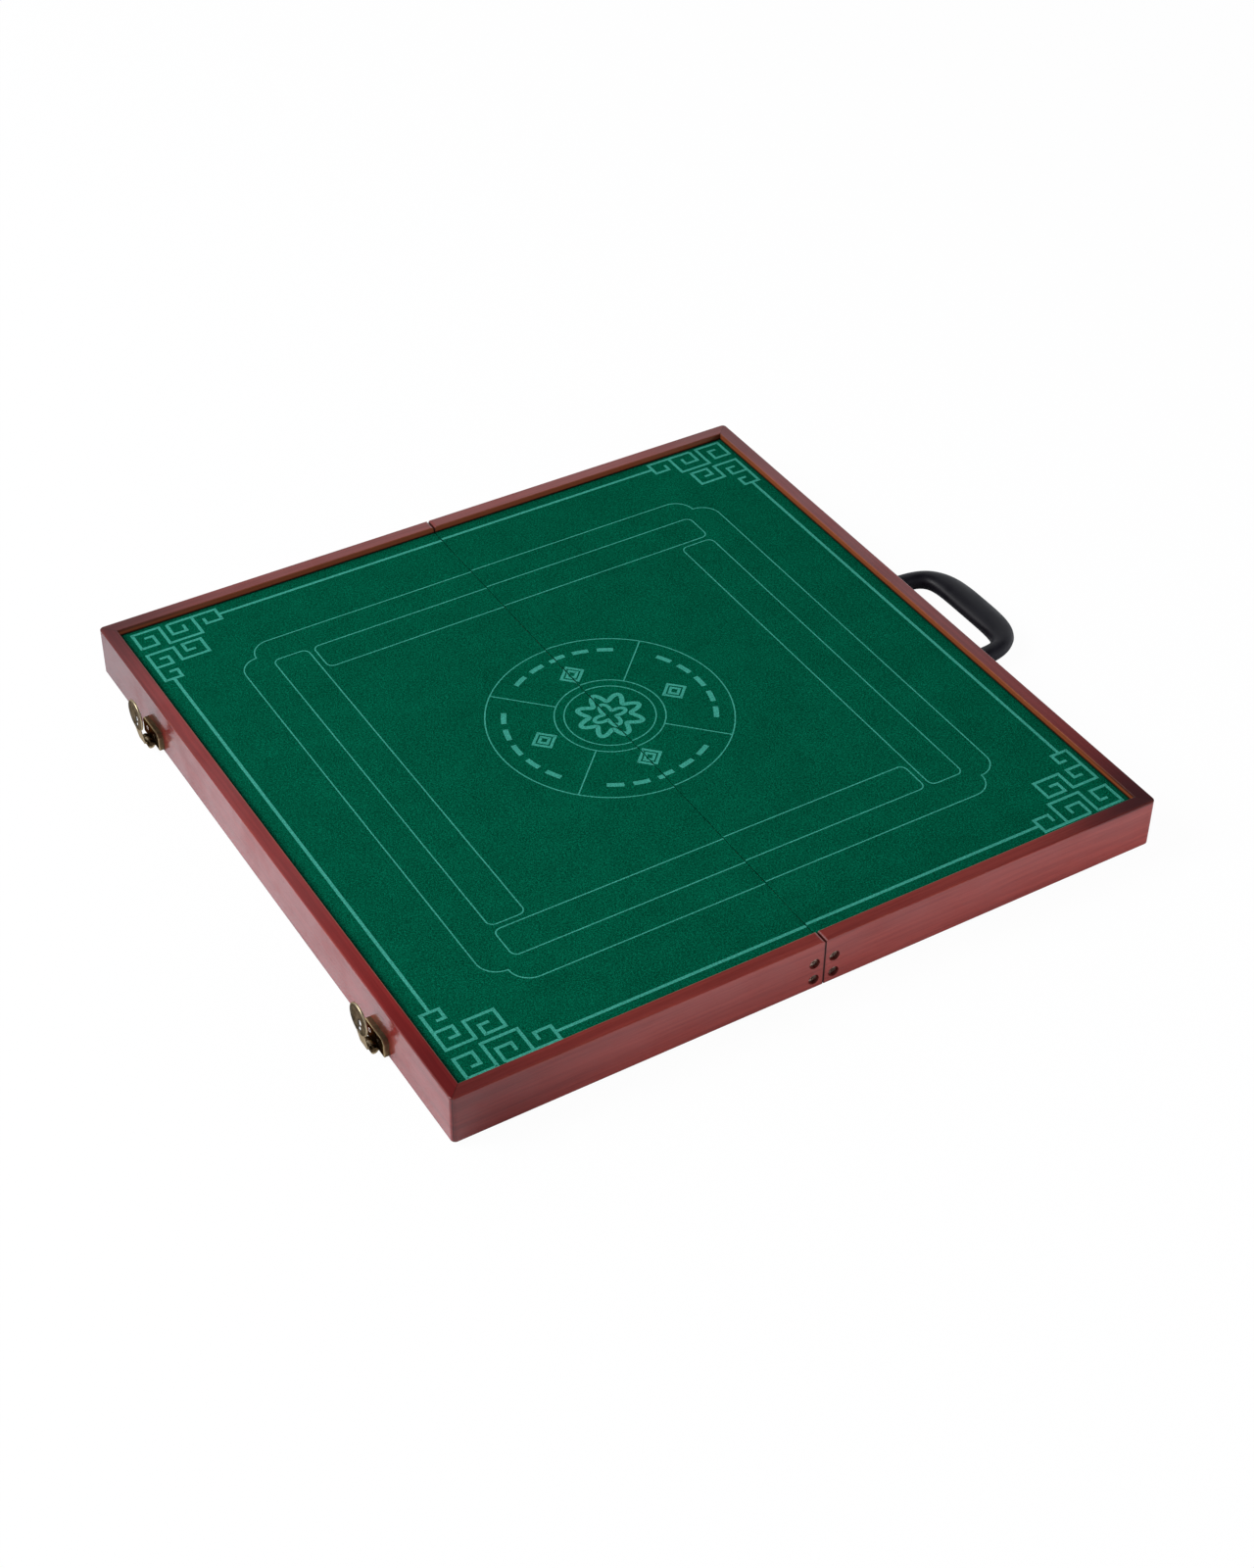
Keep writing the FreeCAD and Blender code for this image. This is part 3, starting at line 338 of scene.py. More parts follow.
# green felt, plain or under ink, with the dark tone of the shadow painted along the frame and the seam
felt = {"deep": rgb(0.0003, 0.034, 0.017), "pale": rgb(0.0020, 0.186, 0.100), "hair": rgb(0.010, 0.240, 0.155),
        "ink": rgb(0.080, 0.460, 0.370), "thin": rgb(0.030, 0.245, 0.180), "edge": rgb(0.0002, 0.010, 0.006),
        "plain": {"Roughness": 1.0, "Specular IOR Level": 0.0}, "shade": (0.94, 0.06), "contrast": (0.49, 0.73),
        "hairs": 0.6, "inkCover": (0.40, 0.58, 0.50, 0.98), "half": 0.3365, "border": (0.0002, 0.0030, 0.85, 0.0),
        "seam": (0.0004, 0.0011, 0.15, 0.0), "relief": (0.55, 0.0004)}


def feltFinish(name, printed):
    material, tree, shader, place = newMaterial(name, felt["plain"])
    nap = useGroup(tree, feltNap, {"Vector": place})
    shade = ease(tree, weighed(tree, (nap["Fleck"], nap["Cloud"]), felt["shade"]), *felt["contrast"])
    color = blend(tree, shade, felt["deep"], felt["pale"])
    color = blend(tree, times(tree, nap["Hair"], felt["hairs"]), color, felt["hair"])
    if printed:  # the ink sits on the fibre tips and is thin where the nap dips
        ink = blend(tree, shade, felt["thin"], felt["ink"])
        color = blend(tree, ease(tree, nap["Fleck"], *felt["inkCover"]), color, ink)
    # the cloth gets a painted shadow in the last millimetres before the frame, and a little at the seam
    x, y, _ = split(tree, place)
    across = absolute(tree, x)
    border = minus(tree, felt["half"], most(tree, across, absolute(tree, y)))
    shadow = most(tree, ease(tree, border, *felt["border"]), ease(tree, across, *felt["seam"]))
    wire(tree, shader, {"Base Color": blend(tree, shadow, color, felt["edge"]),
                        "Normal": bump(tree, nap["Height"], *felt["relief"])})
    return material


# metals, each with two tones of its skin, the bright metal under it, the scale of its marks and two roughnesses
bronze = {"dark": rgb(0.034, 0.023, 0.013), "warm": rgb(0.110, 0.078, 0.042), "bright": rgb(0.440, 0.350, 0.200),
          "plain": {"Metallic": 1.0, "Specular Tint": rgb(0.30, 0.22, 0.13)}, "marks": 170.0, "rough": (0.46, 0.28)}
spoon = {"dark": rgb(0.062, 0.052, 0.038), "warm": rgb(0.190, 0.160, 0.118), "bright": rgb(0.480, 0.400, 0.260),
         "plain": {"Metallic": 1.0, "Specular Tint": rgb(0.55, 0.48, 0.40)}, "marks": 170.0, "rough": (0.46, 0.28)}
brass = {"dark": rgb(0.270, 0.175, 0.070), "warm": rgb(0.600, 0.430, 0.180), "bright": rgb(0.780, 0.600, 0.300),
         "plain": {"Metallic": 1.0}, "marks": 90.0, "rough": (0.40, 0.22)}
steel = {"dark": rgb(0.300, 0.215, 0.165), "warm": rgb(0.620, 0.490, 0.400), "bright": rgb(0.780, 0.700, 0.610),
         "plain": {"Metallic": 1.0}, "marks": 240.0, "rough": (0.32, 0.16)}
metalWork = {"finer": 9.0, "grain": (3.0, 0.6), "scratches": 0.35, "wear": 0.85, "marked": (0.2, 1.6),
             "relief": (0.25, 0.00008)}
# outlines of a latch's plate and of its tongue's disc, in metres, and how the wear eases off
plateEdge = {"middle": 0.225, "half": 0.0175, "foot": 0.0074, "head": 0.025, "clip": 0.0145, "slant": (0.759, 0.651),
             "rim": (0.0004, 0.0012, 1.0, 0.0), "face": (-0.3530, -0.3549, 0.35, 1.0)}
discEdge = {"middle": 0.225, "centre": 0.0422, "rim": (0.0138, 0.0150), "neck": (0.0295, 0.0270, 0.0, 0.8)}


def plateWear(tree, place):
    # rubbed bright within a millimetre of a latch plate's outline: its sides, foot, head and clipped corners
    x, y, z = split(tree, place)
    across = absolute(tree, minus(tree, absolute(tree, y), plateEdge["middle"]))
    below = minus(tree, plateEdge["head"], z)
    clip = weighed(tree, (minus(tree, plateEdge["clip"], across), below), plateEdge["slant"])
    near = least(tree, minus(tree, plateEdge["half"], across), clip, minus(tree, z, plateEdge["foot"]), below)
    return times(tree, ease(tree, near, *plateEdge["rim"]), ease(tree, x, *plateEdge["face"]))


def tongueWear(tree, place):
    # rubbed bright along the disc's rolled rim and down the neck
    _, y, z = split(tree, place)
    across, rise = minus(tree, absolute(tree, y), discEdge["middle"]), minus(tree, z, discEdge["centre"])
    radius = calc(tree, "SQRT", plus(tree, times(tree, across, across), times(tree, rise, rise)))
    return most(tree, ease(tree, radius, *discEdge["rim"]), ease(tree, z, *discEdge["neck"]))


def metalFinish(name, metal, wear=None):
    material, tree, shader, place = newMaterial(name, metal["plain"])
    marks = useGroup(tree, handling, {"Vector": place, "Size": metal["marks"]})
    grain = noise(tree, place, metal["marks"] * metalWork["finer"], *metalWork["grain"])
    color = blend(tree, marks["Smear"], metal["dark"], metal["warm"])
    polish = times(tree, marks["Scratch"], metalWork["scratches"])
    if wear:
        polish = most(tree, polish, times(tree, wear(tree, place), metalWork["wear"]))
    roughness = ease(tree, plus(tree, marks["Smear"], grain), *metalWork["marked"], *metal["rough"])
    wire(tree, shader, {"Base Color": blend(tree, polish, color, metal["bright"]), "Roughness": roughness,
                        "Normal": bump(tree, grain, *metalWork["relief"])})
    return material


# moulded skins of the handle and of the feet
moulding = {"base": rgb(0.0038, 0.0036, 0.0062), "worn": rgb(0.0080, 0.0080, 0.0120),
            "plain": {"Specular IOR Level": 0.22}, "rough": (0.34, 0.50), "grain": 1500.0}
rubber = {"base": rgb(0.016, 0.016, 0.017), "worn": rgb(0.050, 0.048, 0.046),
          "plain": {"Specular IOR Level": 0.3}, "rough": (0.66, 0.85), "grain": 1100.0}
mouldWork = {"marks": 30.0, "finer": 1.7, "worn": 0.6, "marked": (0.3, 1.5), "relief": (0.16, 0.0002)}


def mouldedFinish(name, stuff):
    # a fine pebble grain, duller where hands or the floor have rubbed it
    material, tree, shader, place = newMaterial(name, stuff["plain"])
    marks = useGroup(tree, handling, {"Vector": place, "Size": mouldWork["marks"]})
    pebble = addNode(tree, "ShaderNodeTexVoronoi", {"Vector": place, "Scale": stuff["grain"]}).outputs["Distance"]
    fine = noise(tree, place, stuff["grain"] * mouldWork["finer"])
    color = blend(tree, times(tree, marks["Smear"], mouldWork["worn"]), stuff["base"], stuff["worn"])
    roughness = ease(tree, plus(tree, marks["Smear"], fine), *mouldWork["marked"], *stuff["rough"])
    wire(tree, shader, {"Base Color": color, "Roughness": roughness,
                        "Normal": bump(tree, pebble, *mouldWork["relief"])})
    return material


railLengthwise = mahoganyFinish("mahoganyFront", "front", False)
railCrosswise = mahoganyFinish("mahoganyLatchEnd", "latchEnd", True)
railHandleEnd = mahoganyFinish("mahoganyHandleEnd", "handleEnd", True)
trayAlong = boardFinish("trayWoodSide", whitewood, True)
trayAcross = boardFinish("trayWoodBack", whitewood, False)
panelPly = boardFinish("panelPly", plywood, True)
plainFelt = feltFinish("greenFelt", False)
inkedFelt = feltFinish("feltPrint", True)
agedBronze = metalFinish("agedBronze", bronze)
hingeBrass = metalFinish("hingeBrass", brass)
screwSteel = metalFinish("screwSteel", steel)
plateBronze = metalFinish("plateBronze", bronze, plateWear)
tongueBronze = metalFinish("tongueBronze", spoon, tongueWear)
handleSkin = mouldedFinish("handleSkin", moulding)
footRubber = mouldedFinish("footRubber", rubber)
# a solid takes the first finish whose word is in its name
finishOf = [("screws", screwSteel), ("front_rail", railLengthwise), ("back_rail", railLengthwise),
            ("drawer_front", railLengthwise), ("right_end_rail", railHandleEnd), ("end_rail", railCrosswise),
            ("seam_rail", railCrosswise), ("panel", panelPly), ("drawer_bottom", panelPly),
            ("drawer_guides", trayAlong), ("drawer_sides", trayAlong), ("drawer_back", trayAcross),
            ("hinge", hingeBrass), ("latch_plate", plateBronze), ("latch_tongue", tongueBronze),
            ("latch_pin", agedBronze), ("strike", agedBronze), ("knob", agedBronze), ("handle", handleSkin),
            ("feet", footRubber), ("felt", plainFelt)]
for name, node in nodes.items():
    finish = next(material for word, material in finishOf if word in name)
    for place in node.material_slots:
        place.material = finish
print("finishes on the solids:", len(bpy.data.materials))


def gridFaces(rows, cols, wrap=False):
    # quads between neighbouring rows and columns, the last column joined to the first where it wraps
    i = np.arange(rows - 1)[:, None]
    j = np.arange(cols if wrap else cols - 1)[None, :]
    k = (j + 1) % cols
    return np.stack([i * cols + j, i * cols + k, (i + 1) * cols + k, (i + 1) * cols + j], -1).reshape(-1, 4)


def tubeFaces(rows, cols):
    # quads round a tube of rings, and its first and last ring as caps
    ring = np.arange(cols)
    return gridFaces(rows, cols, True).tolist() + [ring[::-1].tolist(), (ring + (rows - 1) * cols).tolist()]


def gather(parts):
    # several shapes as one: the faces of each count on from the points before it
    first = np.cumsum([0] + [len(points) for points, _ in parts])
    faces = [(np.array(face) + start).tolist() for start, (_, part) in zip(first, parts) for face in part]
    return np.concatenate([points for points, _ in parts]), faces


def newPiece(name, points, faces, material, body):
    mesh = bpy.data.meshes.new(name)
    mesh.from_pydata(points.reshape(-1, 3).tolist(), [], faces)
    mesh.polygons.foreach_set("use_smooth", np.ones(len(mesh.polygons), bool))
    mesh.materials.append(material)
    mesh.update()
    piece = bpy.data.objects.new(name, mesh)
    bpy.context.scene.collection.objects.link(piece)
    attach(piece, body)
    return piece


def turned(profile, segments):
    # a profile of (radius, height) turned about its axis
    angle = np.linspace(0.0, 2.0 * np.pi, segments, endpoint=False)
    radius, height = profile[:, 0:1], profile[:, 1:2]
    ring = np.stack([radius * np.cos(angle), radius * np.sin(angle), height + 0.0 * angle], -1)
    return ring.reshape(-1, 3), tubeFaces(len(profile), segments)


def arc(centre, radii, start, end, count):
    # points of an ellipse arc, from one angle to another in degrees
    angle = np.radians(np.linspace(start, end, count))
    return np.stack([centre[0] + radii[0] * np.cos(angle), centre[1] + radii[1] * np.sin(angle)], -1)


def squarish(angle, square):
    # cosine and sine of a superellipse: each keeps its sign, and its size is raised to the power 2 / square
    c, s = np.cos(angle), np.sin(angle)
    return np.sign(c) * np.abs(c) ** (2.0 / square), np.sign(s) * np.abs(s) ** (2.0 / square)


# felt sheets, laid on the playing panels, in mm
sheetCut = {"seam": 0.4, "edge": 336.5, "foot": 46.5, "top": 48.0, "round": 0.7, "crisp": 3.0, "cells": (40, 80),
            "swell": 0.10, "broad": ((47.0, 0.8), (61.0, 0.3)), "slant": (23.0, 31.0)}


def feltLevel(x, y):
    # the laid cloth's top: level, less slow swells where the glue took up more, which are a product of two sines and
    # half a sine across them, brought to a share between 0 and 1
    ((wide, startX), (deep, startY)), (slantX, slantY) = sheetCut["broad"], sheetCut["slant"]
    swell = np.sin(x / wide + startX) * np.sin(y / deep + startY) + 0.5 * np.sin(x / slantX - y / slantY)
    return sheetCut["top"] - sheetCut["swell"] * (0.5 + swell / 3.0)


def crowded(low, high, cells, near):
    # stations between two edges, with a quarter circle of them close to each edge
    lead = near * (1.0 - np.cos(np.radians(np.array([0.0, 30.0, 60.0, 90.0]))))
    return np.concatenate([low + lead, np.linspace(low + near, high - near, cells + 1)[1:-1], (high - lead)[::-1]])


def layFelt(half, side):
    # height over two parameters: the level, less a rounded drop within the edge radius of the nearest border
    low, high = sorted((side * sheetCut["seam"], side * sheetCut["edge"]))
    across = crowded(low, high, sheetCut["cells"][0], sheetCut["round"])
    along = crowded(-sheetCut["edge"], sheetCut["edge"], sheetCut["cells"][1], sheetCut["round"])
    x, y = np.meshgrid(across, along)
    outside = sheetCut["edge"] - np.maximum(np.abs(x), np.abs(y))
    edge = np.minimum(outside, sheetCut["crisp"] * (np.abs(x) - sheetCut["seam"]))
    short = np.clip(sheetCut["round"] - edge, 0.0, None)
    z = feltLevel(x, y) - sheetCut["round"] + np.sqrt(sheetCut["round"] ** 2 - short ** 2)
    rows, cols = x.shape
    upper = np.stack([x, y, z], -1).reshape(-1, 3)
    lower = np.stack([x, y, np.full_like(x, sheetCut["foot"])], -1).reshape(-1, 3)
    quads = gridFaces(rows, cols)
    index = np.arange(rows * cols).reshape(rows, cols)
    border = np.concatenate([index[0, :-1], index[:-1, -1], index[-1, :0:-1], index[:0:-1, 0]])
    after = np.roll(border, -1)
    wall = np.stack([border, border + rows * cols, after + rows * cols, after], -1)
    faces = np.concatenate([quads, quads[:, ::-1] + rows * cols, wall])
    piece = newPiece(half + "_felt_sheet", np.concatenate([upper, lower]) * mm, faces.tolist(), plainFelt,
                     half + "_half")
    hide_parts(half + "_felt")
    return piece


# print on the felt: bands of ink along lines, in mm from the middle of the table, and each half's own shift
inkPlan = {"left": (1.5, -0.8), "right": (2.5, 1.0), "lift": 0.05, "layer": 0.0015, "bold": 3.0, "fine": 1.25,
           "step": 3.0, "cut": 0.7, "frame": 350.0, "border": (318.8, 321.0), "borderEnds": (98.8, 107.5),
           "outline": 260.0, "scallop": 19.5, "scallopPoints": 12, "tray": (194.0, 229.0, 188.0, 6.5),
           "trayPoints": 7, "wheel": 114.0, "wheelPoints": 181, "rings": (51.0, 42.0), "ringPoints": 121}
# plain ornament in the wheel: radius, swing, number of lobes and line width of the two flowers, and the sizes of the
# lozenges and of the dashes, which are given in degrees round the wheel
ornament = {"flowers": ((25.0, 5.5, 8.0, 4.6), (11.0, 5.0, 4.0, 3.8)), "flowerPoints": 193,
            "lozenge": 69.0, "lozengeSizes": (11.5, 5.5), "lozengeLine": 2.7,
            "dashes": (-28.0, -14.0, 0.0, 14.0, 28.0), "dashHalf": 4.6, "dashRadius": 97.0, "dashPoints": 6,
            "dashLine": 5.0}
# key fret of one corner, in mm from the outer corner of the frame
fretRuns = [[(31.5, 87.5), (39.5, 87.5), (39.5, 98.8), (23.0, 98.8), (23.0, 55.0), (49.7, 55.0), (49.7, 76.3),
             (77.0, 76.3), (77.0, 55.0), (58.5, 55.0), (58.5, 66.1), (67.6, 66.1)],
            [(23.0, 76.6), (40.0, 76.6), (40.0, 65.4), (31.0, 65.4)],
            [(31.6, 29.3), (39.9, 29.3), (39.9, 43.3), (23.0, 43.3), (23.0, 19.7), (49.9, 19.7), (49.9, 47.6),
             (83.0, 47.6), (83.0, 20.0)],
            [(57.7, 20.0), (107.5, 20.0), (107.5, 36.8), (92.3, 36.8), (92.3, 27.8)],
            [(57.7, 20.0), (57.7, 36.7), (71.5, 36.7), (71.5, 27.2)]]


def inkBand(line, width, closed=False):
    # both edges of a band: the line moved half a width along the mitred normal at each of its points
    line = np.asarray(line, float)
    loop = np.concatenate([line, line[:1]]) if closed else line
    length = np.concatenate([[0.0], np.cumsum(np.hypot(*np.diff(loop, axis=0).T))])
    station = np.unique(np.round(np.concatenate([length, np.arange(0.0, length[-1], inkPlan["step"])]), 4))
    path = np.stack([np.interp(station, length, loop[:, k]) for k in (0, 1)], -1)
    run = np.diff(path, axis=0)
    normal = np.stack([-run[:, 1], run[:, 0]], -1) / np.hypot(run[:, 0], run[:, 1])[:, None]
    before = np.concatenate([normal[-1:] if closed else normal[:1], normal])
    after = np.concatenate([normal, normal[:1] if closed else normal[-1:]])
    mitre = (before + after) / (1.0 + np.sum(before * after, -1, keepdims=True))
    half = 0.5 * width * mitre
    return np.stack([path[:-1] - half[:-1], path[1:] - half[1:], path[1:] + half[1:], path[:-1] + half[:-1]], 1)


def boxLoop(x, y, radius):
    # rectangle with round corners, from its x range, its y range and the radius
    corners = [((x[1], y[1]), 0.0), ((x[0], y[1]), 90.0), ((x[0], y[0]), 180.0), ((x[1], y[0]), 270.0)]
    inside = [((np.clip(px, x[0] + radius, x[1] - radius), np.clip(py, y[0] + radius, y[1] - radius)), turn)
              for (px, py), turn in corners]
    return np.concatenate([arc(centre, (radius, radius), turn, turn + 90.0, inkPlan["trayPoints"])
                           for centre, turn in inside])


def drawPrint():
    # the fret in each corner, and the border between the frets
    bold, fine, side = inkPlan["bold"], inkPlan["fine"], inkPlan["frame"]
    bands = [inkBand([(sx * (side - u), sy * (side - v)) for u, v in run], bold)
             for sx in (-1.0, 1.0) for sy in (-1.0, 1.0) for run in fretRuns]
    bx, by = inkPlan["border"]
    endY, endX = (side - end for end in inkPlan["borderEnds"])
    for sign in (-1.0, 1.0):
        bands.append(inkBand([(sign * bx, -endY), (sign * bx, endY)], bold))
        bands.append(inkBand([(-endX, sign * by), (endX, sign * by)], bold))
    # outline whose corners are two scallops that meet in a cusp
    far, lobe = inkPlan["outline"], inkPlan["scallop"]
    quarter = np.concatenate([arc(centre, (lobe, lobe), 0.0, 90.0, inkPlan["scallopPoints"]) for centre in
                              ((far - lobe, far - 2.0 * lobe), (far - 2.0 * lobe, far - lobe))])
    turns = [quarter * (1, 1), quarter[::-1] * (-1, 1), quarter * (-1, -1), quarter[::-1] * (1, -1)]
    bands.append(inkBand(np.concatenate(turns), fine, True))
    # four places for a wall of tiles, each one starting where the last one ends
    low, high, end, radius = inkPlan["tray"]
    bands += [inkBand(boxLoop(x, y, radius), fine, True) for x, y in
              (((-high, -low), (-end, high)), ((-end, high), (low, high)),
               ((low, high), (-high, end)), ((-high, end), (-high, -low)))]
    # wheel with its rings and spokes
    circles = [(inkPlan["wheel"], inkPlan["wheelPoints"])] + [(r, inkPlan["ringPoints"]) for r in inkPlan["rings"]]
    bands += [inkBand(arc((0, 0), (r, r), 0.0, 360.0, count)[:-1], fine, True) for r, count in circles]
    for turn in (45.0, 135.0, 225.0, 315.0):
        ray = np.array([math.cos(math.radians(turn)), math.sin(math.radians(turn))])
        bands.append(inkBand([ray * inkPlan["rings"][0], ray * inkPlan["wheel"]], fine))
    # a flower in a flower in the middle: the radius swings with the cosine of the angle times the number of lobes
    angle = np.linspace(0.0, 2.0 * np.pi, ornament["flowerPoints"])[:-1]
    for middle, swing, lobes, width in ornament["flowers"]:
        radius = middle + swing * np.cos(lobes * angle)
        bands.append(inkBand(np.stack([radius * np.cos(angle), radius * np.sin(angle)], -1), width, True))
    # a lozenge and a row of dashes in each quarter
    out, dash = ornament["lozenge"], (ornament["dashRadius"], ornament["dashRadius"])
    for turn in (0.0, 90.0, 180.0, 270.0):
        c, s = math.cos(math.radians(turn)), math.sin(math.radians(turn))
        spin = np.array([[c, s], [-s, c]])
        for size in ornament["lozengeSizes"]:
            diamond = np.array([(out + size, 0.0), (out, size), (out - size, 0.0), (out, -size)])
            bands.append(inkBand(diamond @ spin, ornament["lozengeLine"], True))
        for centre in ornament["dashes"]:
            line = arc((0, 0), dash, centre - ornament["dashHalf"], centre + ornament["dashHalf"],
                       ornament["dashPoints"])
            bands.append(inkBand(line @ spin, ornament["dashLine"]))
    return bands


def layPrint(half, side, bands):
    # the bands' quads on one half, cut off at the seam and laid on the cloth, each band a trace above the last
    level = np.concatenate([np.full(len(band), number * inkPlan["layer"]) for number, band in enumerate(bands)])
    quads = np.concatenate(bands) + np.array(inkPlan[half])
    keep = np.any(side * quads[:, :, 0] > inkPlan["cut"], axis=1)
    quads, level = quads[keep], level[keep]
    x = side * np.maximum(side * quads[:, :, 0], inkPlan["cut"])
    y = quads[:, :, 1]
    z = feltLevel(x, y) + inkPlan["lift"] + level[:, None]
    points = np.stack([x, y, z], -1) * mm
    faces = np.arange(len(quads) * 4).reshape(-1, 4)
    return newPiece(half + "_felt_print", points, faces.tolist(), inkedFelt, half + "_half")


inkBands = drawPrint()
for half, side in (("left", -1.0), ("right", 1.0)):
    cloth = layFelt(half, side)
    ink = layPrint(half, side, inkBands)
print("felt and print laid:", len(inkBands), "bands")

# carrying handle, in mm; root and bow give the sections' headings in degrees, close together at the wall
grip = {"wall": 350.0, "height": 14.0, "tall": 8.3, "outer": (77.5, 82.9, 3.45), "inner": (59.7, 52.5, 7.2),
        "root": (0.0, 0.5, 1.0, 1.6, 2.2, 2.8, 3.4, 4.0, 4.8, 5.6), "bow": (7.0, 90.0, 68), "around": 80,
        "square": 2.3, "collar": 1.8, "collarEnd": 5.4, "collarRamp": 2.6, "tuck": 0.7, "tuckEnd": 1.2,
        "mouldLine": 0.22, "lineSpread": 0.004, "lineStart": 8.0, "lineRamp": 6.0}


def fromWall(heading, outline):
    # distance from the middle of the wall to a rounded outline with half width a, reach b and power p:
    # r = ((|cos| / a)^p + (sin / b)^p)^(-1/p)
    half, reach, power = outline
    across, outward = np.abs(np.cos(heading)) / half, np.abs(np.sin(heading)) / reach
    return (across ** power + outward ** power) ** (-1.0 / power)


def layHandle():
    # each section lies on a ray from the middle of the wall, between the inner and the outer outline: a squarish
    # ellipse with a collar at the wall and a fine mould line where the two halves of the mould met
    turn = np.concatenate([grip["root"], np.linspace(*grip["bow"])])
    heading = np.radians(np.concatenate([turn, (180.0 - turn)[-2::-1]]))
    outer, inner = fromWall(heading, grip["outer"]), fromWall(heading, grip["inner"])
    middle, wide = (outer + inner) / 2.0, (outer - inner) / 2.0
    edge = middle * np.minimum(heading, np.pi - heading)
    collar = np.clip((grip["collarEnd"] - edge) / grip["collarRamp"], 0.0, 1.0)
    collar = collar * collar * (3.0 - 2.0 * collar) * grip["collar"]
    collar = collar - grip["tuck"] * np.clip(1.0 - edge / grip["tuckEnd"], 0.0, 1.0) ** 2
    angle = np.linspace(0.0, 2.0 * np.pi, grip["around"], endpoint=False)
    cosine, sine = squarish(angle, grip["square"])
    fromLine = (angle + np.pi) % (2.0 * np.pi) - np.pi
    ridge = grip["mouldLine"] * np.exp(-fromLine ** 2 / grip["lineSpread"])
    free = np.clip((edge - grip["lineStart"]) / grip["lineRamp"], 0.0, 1.0)[:, None]
    radius = middle[:, None] + (wide + collar)[:, None] * cosine + free * ridge
    points = np.stack([grip["wall"] + radius * np.sin(heading)[:, None], radius * np.cos(heading)[:, None],
                       grip["height"] + (grip["tall"] + collar)[:, None] * sine], -1)
    piece = newPiece("carry_handle_moulding", points * mm, tubeFaces(len(heading), grip["around"]), handleSkin,
                     "right_half")
    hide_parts("carry_handle")


layHandle()
print("handle moulded")

# drawer knobs, in mm; the rose is (radius, height), the ball an arc
knob = {"x": 175.2, "wall": 350.0, "height": 24.5, "segments": 64,
        "rose": ((5.4, 0.0), (5.5, 0.4), (5.5, 0.9), (5.2, 1.35), (4.5, 1.6), (3.6, 1.7), (3.0, 1.95), (2.9, 2.3)),
        "ball": ((0.0, 7.9), (6.4, 6.0), -64.0, 89.0, 26), "tip": (0.05, 13.9)}


def turnKnobs():
    # profile: a rose with a rounded edge, a hollow neck and a slightly flattened ball
    profile = np.concatenate([knob["rose"], arc(*knob["ball"]), [knob["tip"]]])
    ring, faces = turned(profile, knob["segments"])
    for half, side in (("left", -1.0), ("right", 1.0)):
        points = np.stack([side * knob["x"] + ring[:, 0], knob["wall"] + ring[:, 2], knob["height"] - ring[:, 1]], -1)
        piece = newPiece(half + "_knob_turning", points * mm, faces, agedBronze, half + "_drawer")
        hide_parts(half + "_drawer_knob")


turnKnobs()
print("knobs turned")

# rubber feet, in mm: their columns and how far back they stand, then the profile as (radius, height) and an arc
foot = {"left": ((-314.5, -41.4), 314.5), "right": ((314.5, 41.4), 290.5), "segments": 48,
        "sole": ((0.05, 3.2), (2.2, 3.2), (2.9, 2.9), (3.2, 1.6), (3.3, 0.7), (3.7, 0.15), (4.3, 0.0), (6.6, 0.0)),
        "edge": ((6.7, 1.3), (1.3, 1.3), -80.0, -8.0, 7),
        "side": ((8.45, 4.0), (8.8, 7.6), (8.95, 8.5), (9.0, 9.0), (0.05, 9.0))}


def mouldFeet():
    # profile from the well in the sole, over the rounded sole and up the tapered side to the base panel
    profile = np.concatenate([foot["sole"], arc(*foot["edge"]), foot["side"]])
    ring, faces = turned(profile, foot["segments"])
    for half in ("left", "right"):
        columns, back = foot[half]
        points, allFaces = gather([(ring + np.array([x, y, 0.0]), faces) for x in columns for y in (-back, back)])
        piece = newPiece(half + "_rubber_feet", points * mm, allFaces, footRubber, half + "_half")
        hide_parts(half + "_feet")


mouldFeet()
print("feet moulded")

# latch tongues, in mm from the latch pin: across, out from the wall and up; a bar has its start, its end, the
# direction of its width, its half widths, its half thickness and how square it is
tongue = {"pin": (-358.6, 225.0, 8.6), "centre": (8.3, 33.6), "radius": 14.0, "bead": 1.1, "dish": 1.0, "sheet": 0.7,
          "hole": (4.0, 3.2), "slot": (2.5, 9.4), "turns": 144, "firstTurn": 0.01, "face": (0.0, 0.94, 9),
          "roll": (135.0, -135.0, 13), "sections": 6, "around": 32,
          "keyBar": ((-3.2, 7.6, 25.7), (3.2, 7.6, 25.7), (0.0, 0.0, 1.0), (0.6, 0.6), 0.5, 4.0),
          "neck": ((0.0, 5.2, 3.2), (0.0, 8.0, 20.0), (1.0, 0.0, 0.0), (6.6, 7.4), 0.7, 8.0),
          "shank": ((0.0, 1.8, 0.3), (0.0, 5.3, 4.4), (1.0, 0.0, 0.0), (3.0, 3.0), 0.8, 8.0),
          "knuckle": ((-3.0, 0.0, 0.0), (3.0, 0.0, 0.0), (0.0, 1.0, 0.0), (3.2, 3.2), 3.2, 2.0)}


def straightBar(start, end, side, halves, thick, square):
    # sections of a superellipse along a straight line: one axis is given, the other is square to it and to the line
    start, end, side = np.array(start), np.array(end), np.array(side)
    other = np.cross(end - start, side)
    other = other / np.linalg.norm(other)
    rows, cols = tongue["sections"], tongue["around"]
    c, s = squarish(np.linspace(0.0, 2.0 * np.pi, cols, endpoint=False)[None, :, None], square)
    line = np.linspace(start, end, rows)[:, None, :]
    points = line + np.linspace(*halves, rows)[:, None, None] * c * side + thick * s * other
    return points.reshape(-1, 3), tubeFaces(rows, cols)


